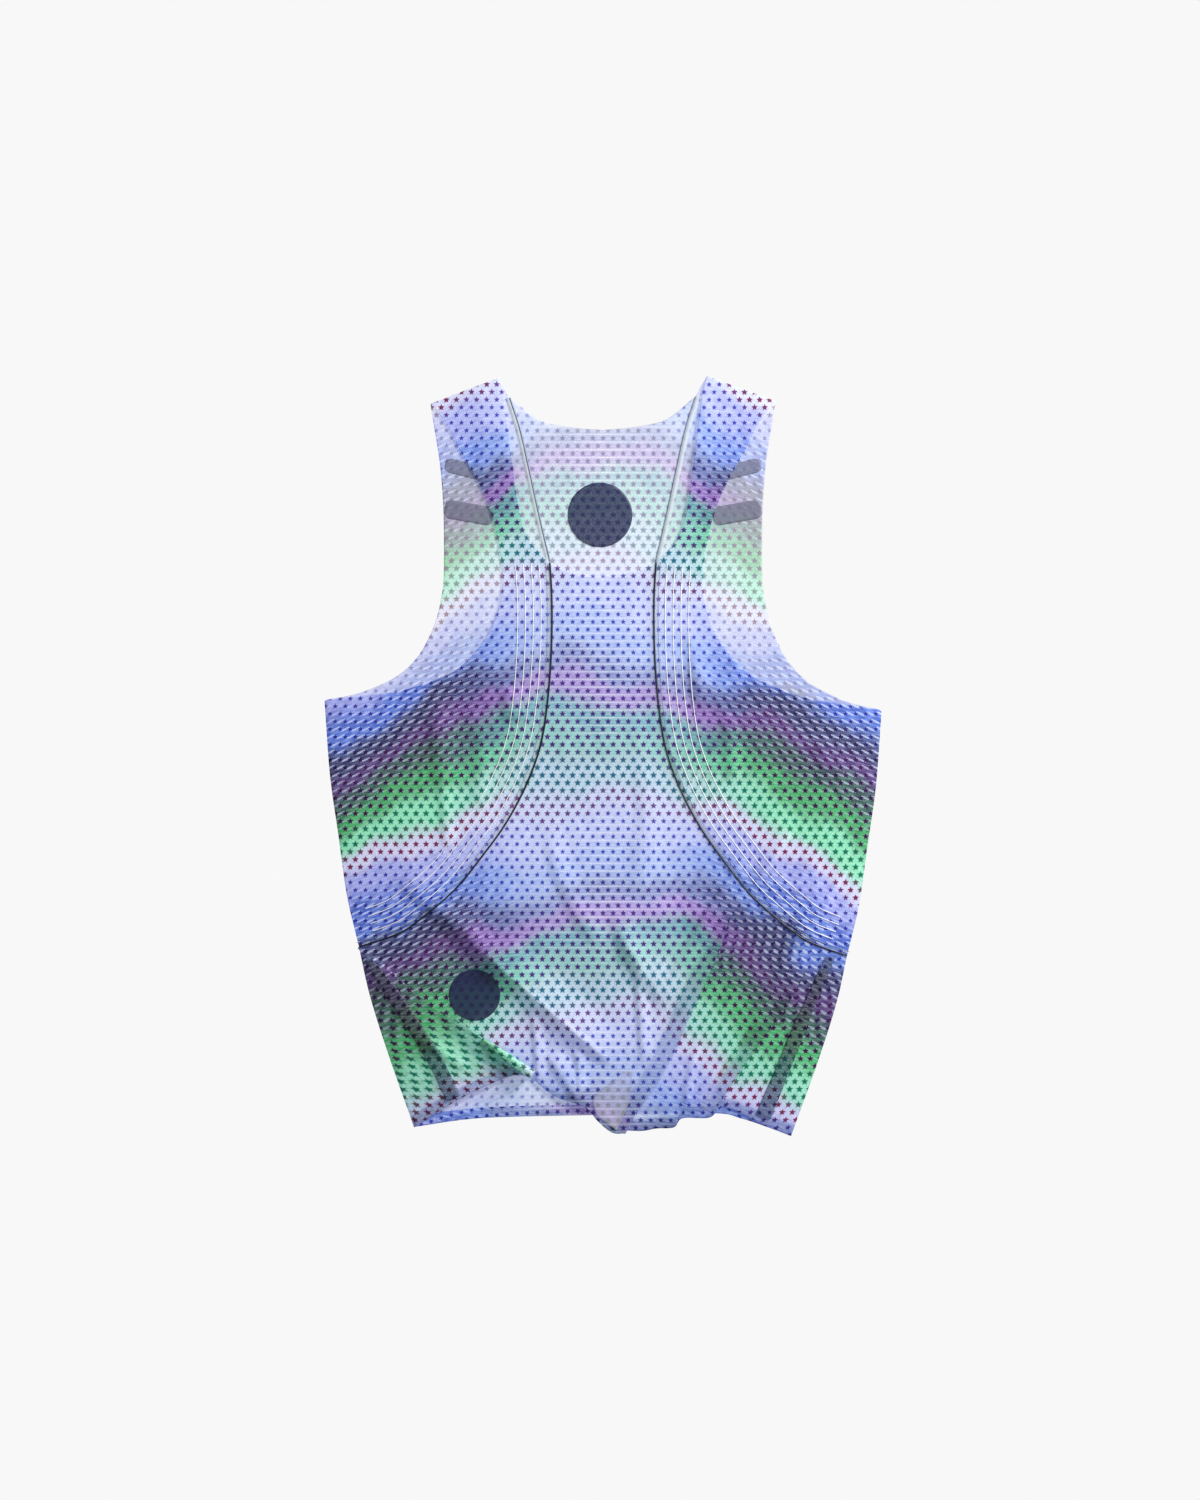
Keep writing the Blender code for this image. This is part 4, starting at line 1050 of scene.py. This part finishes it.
OVER = 0.10 * MM                        # and this far over its face, where they are dropped onto it
OVER_BACK = 1.3 * RAISED                # the back's threads over the middle of its cloth
UNDER_FRONT = -1.6 * RAISED             # the front's allowances under the middle of its cloth
ALLOWANCE = 0.2 * MM                    # thickness of the seam allowances as drawn
# Shares of the thread's width: thickness and stitch radius in front, width and thickness at the back.
THREAD_HEIGHT, STITCH_RADIUS, BACK_WIDTH, BACK_HEIGHT = 0.5, 0.2, 0.9, 0.4
SEAM_POINTS, STITCH_SIDES = 260, 6
DROP_FROM = 0.1                         # height from which a place on top of the cloth is sought
DROPS = [(0.0, 0.0), (1.0 * MM, 0.0), (-1.0 * MM, 0.0), (0.0, 1.0 * MM), (0.0, -1.0 * MM)]
FRONT_CLOTH = ["front_centre_cloth", "front_side_left_cloth", "front_side_right_cloth"]


def geometry_tree(name, floats):
    """Geometry node tree with one geometry and several float inputs, and its two end nodes."""
    tree = bpy.data.node_groups.new(name, "GeometryNodeTree")
    tree.interface.new_socket("Geometry", in_out="INPUT", socket_type="NodeSocketGeometry")
    for label in floats:
        tree.interface.new_socket(label, in_out="INPUT", socket_type="NodeSocketFloat")
    tree.interface.new_socket("Material", in_out="INPUT", socket_type="NodeSocketMaterial")
    tree.interface.new_socket("Geometry", in_out="OUTPUT", socket_type="NodeSocketGeometry")
    return tree, node(tree, "NodeGroupInput").outputs


def ribbon_tree():
    """Flat tape along each edge path, laid level."""
    tree, given = geometry_tree("Tape along a path", ("Width", "Thickness"))
    curve = node(tree, "GeometryNodeMeshToCurve", [given["Geometry"]])
    curve = node(tree, "GeometryNodeSetCurveNormal", [curve], mode="Z_UP")
    profile = node(tree, "GeometryNodeCurvePrimitiveQuadrilateral",
                   {"Width": given["Width"], "Height": given["Thickness"]})
    tape = node(tree, "GeometryNodeCurveToMesh", {"Curve": curve, "Profile Curve": profile,
                                                  "Fill Caps": True})
    tape = node(tree, "GeometryNodeRealizeInstances", [tape])
    tape = node(tree, "GeometryNodeSetMaterial", {"Geometry": tape, "Material": given["Material"]})
    node(tree, "NodeGroupOutput", [tape])
    return tree


def stitch_tree():
    """Straight stitches one after another along each edge path."""
    tree, given = geometry_tree("Stitches along a path", ("Pitch", "Length", "Radius"))
    curve = node(tree, "GeometryNodeMeshToCurve", [given["Geometry"]])
    points = node(tree, "GeometryNodeResampleCurve", {"Curve": curve, "Length": given["Pitch"]},
                  mode="LENGTH")
    thread = node(tree, "GeometryNodeMeshCylinder", {"Vertices": STITCH_SIDES, "Radius": given["Radius"],
                                                     "Depth": given["Length"]})
    tangent = node(tree, "GeometryNodeInputTangent")
    turn = node(tree, "FunctionNodeAlignRotationToVector", {"Vector": tangent}, axis="Z")
    stitches = node(tree, "GeometryNodeInstanceOnPoints", {
        "Points": points, "Instance": thread.outputs["Mesh"], "Rotation": turn})
    stitches = node(tree, "GeometryNodeRealizeInstances", [stitches])
    stitches = node(tree, "GeometryNodeSetMaterial",
                    {"Geometry": stitches, "Material": given["Material"]})
    node(tree, "NodeGroupOutput", [stitches])
    return tree


def along_paths(name, paths, tree, material, **sizes):
    """Piece that a geometry tree makes along 3-D paths."""
    mesh = bpy.data.meshes.new(name)
    verts = np.vstack(paths)
    edges = []
    first = 0
    for path in paths:
        edges += [(first + i, first + i + 1) for i in range(len(path) - 1)]
        first += len(path)
    mesh.from_pydata(verts.tolist(), edges, [])
    obj = put(mesh, name)
    made = obj.modifiers.new("Made", "NODES")
    made.node_group = tree
    keys = {item.name: item.identifier for item in tree.interface.items_tree if item.in_out == "INPUT"}
    for label, value in sizes.items():
        made[keys[label.capitalize()]] = value
    made[keys["Material"]] = material
    return plain_mesh(obj)


def on_top(spots, names, lift=OVER):
    """3-D points on top of the named cloth, found by dropping each plan point onto it."""
    bpy.context.view_layer.update()
    cloths = [bpy.data.objects[name] for name in names]
    places = on_front(spots, lift)
    for place in places:
        hits = []
        for dx, dy in DROPS:
            start = Vector((place[0] + dx, place[1] + dy, DROP_FROM))
            for cloth in cloths:
                found, spot, _, _ = cloth.ray_cast(start, Vector((0.0, 0.0, -1.0)))
                if found:
                    hits.append(spot.z)
        if hits:
            place[2] = max(hits) + lift
    return places


def leftward(points):
    """Unit step to the left of a plan polyline's run, at each of its points."""
    run = np.gradient(points, axis=0)
    run /= np.linalg.norm(run, axis=1)[:, None]
    return np.column_stack([-run[:, 1], run[:, 0]])


def beside(points, distance):
    """A plan polyline moved to the left of its run."""
    return points + leftward(points) * distance


def strip_rows(edges, cells):
    """Rows of plan points between two edges, as many cells down and across as asked."""
    first, second = (Path(rounded(edge)) for edge in edges)
    t = np.linspace(0.0, 1.0, cells[1] + 1)[:, None]
    return [blend(first.at(share), second.at(share), t) for share in np.linspace(0.0, 1.0, cells[0] + 1)]


# ---------------------------------------------------------------- pieces
def finish_piece(obj, *nodes_replaced, slot="front_knit"):
    """Ride on the one body and stand for the solids; the slot is not used."""
    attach(obj, "root")
    if nodes_replaced:
        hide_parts(*nodes_replaced)
    return obj


def lay_cloth(name, rows, flats, materials, thickness, *solids, slot="front_knit", painted_shades=1.0):
    """Finished piece of thin cloth about rows of 3-D points, with their flat coordinates."""
    mesh = grid_mesh(name, rows, flats, painted_shades)
    return finish_piece(cloth_shell(mesh, name, materials, thickness), *solids, slot=slot)


def cut_size(mesh):
    """Width, length and area of a shell's flat cut, from its flat coordinates."""
    flat = np.zeros(len(mesh.vertices) * 3, np.float32)
    mesh.attributes["flat"].data.foreach_get("vector", flat)
    flat = flat.reshape(-1, 3)[:, :2].astype(float)
    mesh.calc_loop_triangles()
    corners = np.array([triangle.vertices for triangle in mesh.loop_triangles])
    a, b, c = (flat[corners[:, i]] for i in range(3))
    doubled = np.abs((b - a)[:, 0] * (c - a)[:, 1] - (b - a)[:, 1] * (c - a)[:, 0])
    return np.ptp(flat, axis=0), float(doubled.sum()) / 4.0


class SINGLET_OT_front(bpy.types.Operator):
    """Front middle panel with its knife folds, and the two front side panels"""
    bl_idname = "singlet.front"
    bl_label = "Front panels"

    def execute(self, context):
        thickness = context.scene.singlet_cloth.thickness
        rows = middle_rows()
        plan = np.vstack(rows)
        surface = on_front(plan[:, :2], plan[:, 2]).reshape(len(rows), -1, 3)
        # Painted shade over the folds' hidden plies and the hem's turn-up; none on the straight rows.
        painted_shades = [np.ones((len(rows[0]), 3))] * STRAIGHT_ROWS
        painted_shades += [painted_plies_shade(row, k / FOLDED_ROWS) for k, row in enumerate(rows[STRAIGHT_ROWS:])]
        lay_cloth("front_centre_cloth", surface, [flat_row(row) for row in rows], cloth_materials(),
                  thickness, "front_centre", painted_shades=np.vstack(painted_shades))
        for side, hand in HANDS.items():
            rows = side_rows(hand, FRONT_NECKLINE, FRONT_ARMHOLE, RUNG_SHARES)
            lay_cloth(f"front_side_{side}_cloth", [on_front(row) for row in rows], rows,
                      cloth_materials(), thickness, f"front_side_{side}")
        return {"FINISHED"}


class SINGLET_OT_back(bpy.types.Operator):
    """Back middle panel and the two back side panels, wrong side up"""
    bl_idname = "singlet.back"
    bl_label = "Back panels"

    def execute(self, context):
        neck = [SHOULDER_INNER] + BACK_SEAM_TOP + [SCOOP_CORNER]
        panels = {"back_centre": back_rows()}
        for side, hand in HANDS.items():
            panels["back_side_" + side] = side_rows(hand, neck, BACK_ARMHOLE, BACK_RUNG_SHARES)
        for name, rows in panels.items():
            lay_cloth(name + "_cloth", [on_back(row) for row in rows], rows, cloth_materials()[::-1],
                      context.scene.singlet_cloth.thickness, name, slot="back_knit")
        return {"FINISHED"}


class SINGLET_OT_hems(bpy.types.Operator):
    """Turned-up hems of the front and the back"""
    bl_idname = "singlet.hems"
    bl_label = "Hem turn-ups"

    def execute(self, context):
        cloth = context.scene.singlet_cloth
        printed, wrong = cloth_materials()
        front, above, back = folded_row(1.0), folded_row(HEM_WAY_FROM), back_rows()[-1]
        way = above[:, :2] - front[:, :2]
        way /= np.linalg.norm(way, axis=1)[:, None]
        # Each layer, its hem in plan with its lift, the way up, the way in, flat places and materials.
        hems = [("front", on_front, front[:, :2], front[:, 2], way, -1.0, flat_row(front), (wrong, printed)),
                ("back", on_back, back, 0.0, (0.0, 1.0), 1.0, back, (printed, wrong))]
        for layer, place, hem, lift, way, inward, flat, materials in hems:
            rows, flats = [], []
            for share, drop in HEM_STEPS[::-1]:
                width = cloth.turn_up * share
                rows.append(place(hem + np.multiply(way, width), lift + inward * drop))
                flats.append(flat - (0.0, width))
            lay_cloth(layer + "_hem_turn_up", rows, flats, materials, cloth.thickness * HEM_THINNESS,
                      slot=layer + "_knit")
        return {"FINISHED"}


class SINGLET_OT_pleats(bpy.types.Operator):
    """Narrow pleats, the turned-back flap and the rolled end at the front's hem"""
    bl_idname = "singlet.pleats"
    bl_label = "Pleats, flap and roll"

    def execute(self, context):
        thickness = context.scene.singlet_cloth.thickness
        printed, wrong = cloth_materials()
        drop = np.zeros((PLEAT_CELLS[1] + 1, 3))
        drop[[0, -1], 2] = PLEAT_LIFT / 2
        for side, edges in PLEATS.items():
            rows = strip_rows(edges, PLEAT_CELLS)
            # The pleats are real folds of cloth whose print is darkened by painted shade.
            lay_cloth("front_pleat_" + side, [on_top(row, FRONT_CLOTH, PLEAT_LIFT) - drop for row in rows],
                      [row + PLEAT_SHIFT[side] for row in rows], (printed, wrong), thickness,
                      painted_shades=PLEAT_PAINTED_SHADE)

        rows = strip_rows(HEM_FLAP, FLAP_CELLS)
        down, over = (np.linspace(0.0, 1.0, cells + 1) for cells in FLAP_CELLS)
        # Painted shade darkens the flap's print towards its folded edge.
        inside = np.minimum.outer(np.minimum(down, 1.0 - down) * FLAP_LENGTH, np.minimum(over, 1.0 - over))
        inside = smoothstep(inside.reshape(-1, 1) / FLAP_EDGE)
        lay_cloth("front_hem_flap", [on_top(row, FRONT_CLOTH, FLAP_LIFT) for row in rows], rows,
                  (wrong, printed), thickness, painted_shades=blend(np.array(FLAP_PAINTED_SHADE), 1.0, inside))

        spine, radii = zip(*HEM_ROLL)
        shares = np.linspace(0.0, 1.0, ROLL_CELLS[0] + 1)
        places = Path(rounded(spine)).at(shares)
        radii = np.interp(shares, np.linspace(0.0, 1.0, len(radii)), radii)
        turns = np.linspace(*ROLL_TURNS, ROLL_CELLS[1] + 1)
        base = on_top(places, FRONT_CLOTH[:1])[:, 2]
        rows, flats = [], []
        for place, aside, radius, z in zip(places, leftward(places), radii, base):
            plan = place + np.outer(np.sin(turns), aside) * radius
            rows.append(np.column_stack([plan, z + radius * (1.0 - np.cos(turns))]))
            flats.append(place + np.outer(turns * radius, aside) + ROLL_PRINT)
        lay_cloth("front_hem_roll", rows, flats, (wrong, printed), thickness)
        return {"FINISHED"}


class SINGLET_OT_seams(bpy.types.Operator):
    """Seam threads, allowances and stitches of the front and the back, and the front's pinstripes"""
    bl_idname = "singlet.seams"
    bl_label = "Seams"

    def execute(self, context):
        sizes = context.scene.singlet_seams
        tape, stitches = ribbon_tree(), stitch_tree()
        # Spun polyester, sewn as a flat seam: a thin near-black line with a soft, low shine.
        dark = solid_material("Flatlock thread, dark polyester", sizes.front_thread, 0.5)
        # The same thread in grey, on the side that is worn inside: a faint line through the mesh.
        grey = solid_material("Flatlock thread, grey polyester", sizes.back_thread, 0.55)
        # Two more plies of undyed mesh along the seam: a milky band that light still passes.
        pale = solid_material("Seam allowance, undyed knit", sizes.allowance, 0.7, cover=0.5)
        # Screen-printed plastisol ink: a matt white line that stands just proud of the mesh.
        white = solid_material("Raised line print, white", sizes.pinstripe, 0.6)
        shares = np.linspace(0.0, 1.0, SEAM_POINTS)
        width, thread = sizes.allowance_width, sizes.thread_width
        for side, hand in HANDS.items():
            front = laid_path(SEAM_TO_SIDE, hand).at(shares)
            back = laid_path(BACK_SEAM_TOP + SEAM_TO_SIDE, hand).at(shares)
            upper = laid_path(SEAM_TO_SIDE, hand).at(shares * PINSTRIPE_END)
            outward = hand * width / 2
            # Name, its 3-D paths, the tree that makes it, its material and its sizes.
            pieces = [
                ("front_seam_thread_", [on_top(front, FRONT_CLOTH)], tape, dark,
                 {"width": thread, "thickness": thread * THREAD_HEIGHT}),
                ("front_seam_stitches_", [on_top(beside(front, hand * width), FRONT_CLOTH, 0.0)],
                 stitches, grey, {"pitch": sizes.stitch_pitch, "length": sizes.stitch_length,
                                  "radius": thread * STITCH_RADIUS}),
                ("front_seam_allowance_", [on_front(beside(front, outward), UNDER_FRONT)], tape, pale,
                 {"width": width, "thickness": ALLOWANCE}),
                ("back_seam_thread_", [on_back(back, OVER_BACK)], tape, grey,
                 {"width": thread * BACK_WIDTH, "thickness": thread * BACK_HEIGHT}),
                ("back_seam_allowance_", [on_back(beside(back, outward), RAISED)], tape, pale,
                 {"width": width, "thickness": ALLOWANCE}),
                ("pinstripes_", [on_top(beside(upper, hand * away), FRONT_CLOTH) for away in PINSTRIPES],
                 tape, white, {"width": sizes.pinstripe_width, "thickness": PRESSED}),
            ]
            for name, paths, tree, material, inputs in pieces:
                obj = along_paths(name + side, paths, tree, material, **inputs)
                finish_piece(obj, slot="back_knit" if name.startswith("back") else "front_knit")
        return {"FINISHED"}


class SINGLET_OT_pressed(bpy.types.Operator):
    """Plain discs and bars of pressed film"""
    bl_idname = "singlet.pressed"
    bl_label = "Pressed shapes"

    def execute(self, context):
        sizes = context.scene.singlet_seams
        # Thin polyurethane transfer film: smooth and dark, with the star print just seen through it.
        dark = solid_material("Heat-pressed film, dark", sizes.film_dark, 0.45, cover=0.58)
        # The same film in grey, on the back's outer side and so seen dulled from within.
        grey = solid_material("Heat-pressed film, grey", sizes.film_grey, 0.5, cover=0.45)
        turns = np.linspace(0.0, 2 * math.pi, DISC_CELLS[1] + 1)
        rim = np.column_stack([np.sin(turns), np.cos(turns)])
        for name, layer, middle, radius in DISCS:
            rings = [np.array(middle) + rim * radius * share
                     for share in np.linspace(0.0, 1.0, DISC_CELLS[0] + 1)]
            laid_on = [on_top(ring, FRONT_CLOTH) if layer == "front" else on_back(ring, RAISED)
                       for ring in rings[::-1]]
            lay_cloth(name, laid_on, rings, (dark, dark), PRESSED, slot=layer + "_knit")
        for side, hand in HANDS.items():
            for number, (middle, span, width, tilt) in enumerate(BARS, 1):
                turn = math.radians(tilt * -hand)
                across = np.array([math.cos(turn), math.sin(turn)]) * span / 2
                up = np.array([-math.sin(turn), math.cos(turn)]) * width / 2
                rows = []
                for share in np.linspace(-1.0, 1.0, BAR_CELLS[0] + 1):
                    reach = 1.0 - BAR_ROUND * share ** BAR_POWER
                    t = np.linspace(-reach, reach, BAR_CELLS[1] + 1)[:, None]
                    rows.append(np.array(middle) * (hand, 1.0) + across * t - up * share)
                lay_cloth(f"back_bar_{side}_{number}", [on_back(row, RAISED) for row in rows], rows,
                          (grey, grey), PRESSED, slot="back_knit")
        return {"FINISHED"}


class SINGLET_OT_cut(bpy.types.Operator):
    """Works out the size and area of every panel's flat cut; the results are not kept"""
    bl_idname = "singlet.cut"
    bl_label = "Cut of the panels"

    def execute(self, context):
        for name, (below, trims) in PANELS.items():
            panel = bpy.data.objects[name]
            size, area = cut_size(panel.data)
        return {"FINISHED"}


# ---------------------------------------------------------------- stage
CAMERA_SPOT, SENSOR = (-0.0027, 0.0054), 36.0
FLOOR_SIZE, FLOOR_LEVEL = 8.0, -0.2 * MM
# Lamps that look at the middle: name, place, size and share of the key lamp's power.
LAMPS = [("key_lamp", (1.75, 1.55, 1.0), 0.7, 1.0), ("fill_lamp", (-1.5, -0.6, 1.9), 2.4, 0.10)]
SHEER_LAYERS = 32                       # surfaces that light may pass on its way


class SINGLET_OT_stage(bpy.types.Operator):
    """Pale floor, soft lamps and the camera straight above"""
    bl_idname = "singlet.stage"
    bl_label = "Stage"

    def execute(self, context):
        stage = context.scene.singlet_stage
        scene = context.scene
        # Opal acrylic lit from below: one even near-white with no shadow on it.
        material, tree = new_material("Light table, evenly lit white")
        face = node(tree, "ShaderNodeEmission", {"Color": linear(stage.floor_colour), "Strength": 1.0})
        node(tree, "ShaderNodeOutputMaterial", {"Surface": face})
        bpy.ops.mesh.primitive_plane_add(size=FLOOR_SIZE, location=(0.0, 0.0, FLOOR_LEVEL))
        floor = context.object
        floor.name = "floor"
        floor.data.materials.append(material)

        lens = bpy.data.cameras.new("camera")
        lens.lens = stage.lens
        lens.sensor_width = SENSOR
        camera = bpy.data.objects.new("camera", lens)
        camera.location = (*CAMERA_SPOT, stage.camera_height)
        scene.collection.objects.link(camera)
        scene.camera = camera

        for name, place, size, share in LAMPS:
            data = bpy.data.lights.new(name, "AREA")
            data.size = size
            data.energy = stage.key_power * share
            lamp = bpy.data.objects.new(name, data)
            lamp.location = place
            lamp.rotation_euler = (-Vector(place)).to_track_quat("-Z", "Y").to_euler()
            scene.collection.objects.link(lamp)
        world = bpy.data.worlds.new("studio")
        scene.world = world
        world.use_nodes = True
        background = world.node_tree.nodes["Background"].inputs
        background["Color"].default_value = linear("ffffff")
        background["Strength"].default_value = stage.sky
        scene.view_settings.view_transform = "Standard"
        scene.cycles.transparent_max_bounces = SHEER_LAYERS
        return {"FINISHED"}


# ---------------------------------------------------------------- panel and registration
OPERATORS = (
    SINGLET_OT_front,
    SINGLET_OT_back,
    SINGLET_OT_hems,
    SINGLET_OT_pleats,
    SINGLET_OT_seams,
    SINGLET_OT_pressed,
    SINGLET_OT_cut,
    SINGLET_OT_stage,
)


class SINGLET_PT_panel(bpy.types.Panel):
    """Sizes, colours and building steps of the singlet"""
    bl_label = "Singlet"
    bl_space_type = "VIEW_3D"
    bl_region_type = "UI"
    bl_category = "Singlet"

    def draw(self, context):
        for setting in SETTINGS:
            group = getattr(context.scene, setting)
            box = self.layout.box()
            for name in group.__annotations__:
                box.prop(group, name)
        for operator in OPERATORS:
            self.layout.operator(operator.bl_idname)


SETTINGS = {
    "singlet_cloth": SINGLET_PG_cloth,
    "singlet_seams": SINGLET_PG_seams,
    "singlet_stage": SINGLET_PG_stage,
}
CLASSES = (*SETTINGS.values(), *OPERATORS, SINGLET_PT_panel)


def register():
    """Register the classes and hang the settings on the scene."""
    for cls in CLASSES:
        bpy.utils.register_class(cls)
    for name, group in SETTINGS.items():
        setattr(bpy.types.Scene, name, bpy.props.PointerProperty(type=group))


def unregister():
    """Remove the settings and the classes."""
    for name in SETTINGS:
        delattr(bpy.types.Scene, name)
    for cls in reversed(CLASSES):
        bpy.utils.unregister_class(cls)


def main():
    """Build every piece in order."""
    register()
    for operator in OPERATORS:
        group, name = operator.bl_idname.split(".")
        getattr(getattr(bpy.ops, group), name)()


if __name__ == "__main__":
    main()
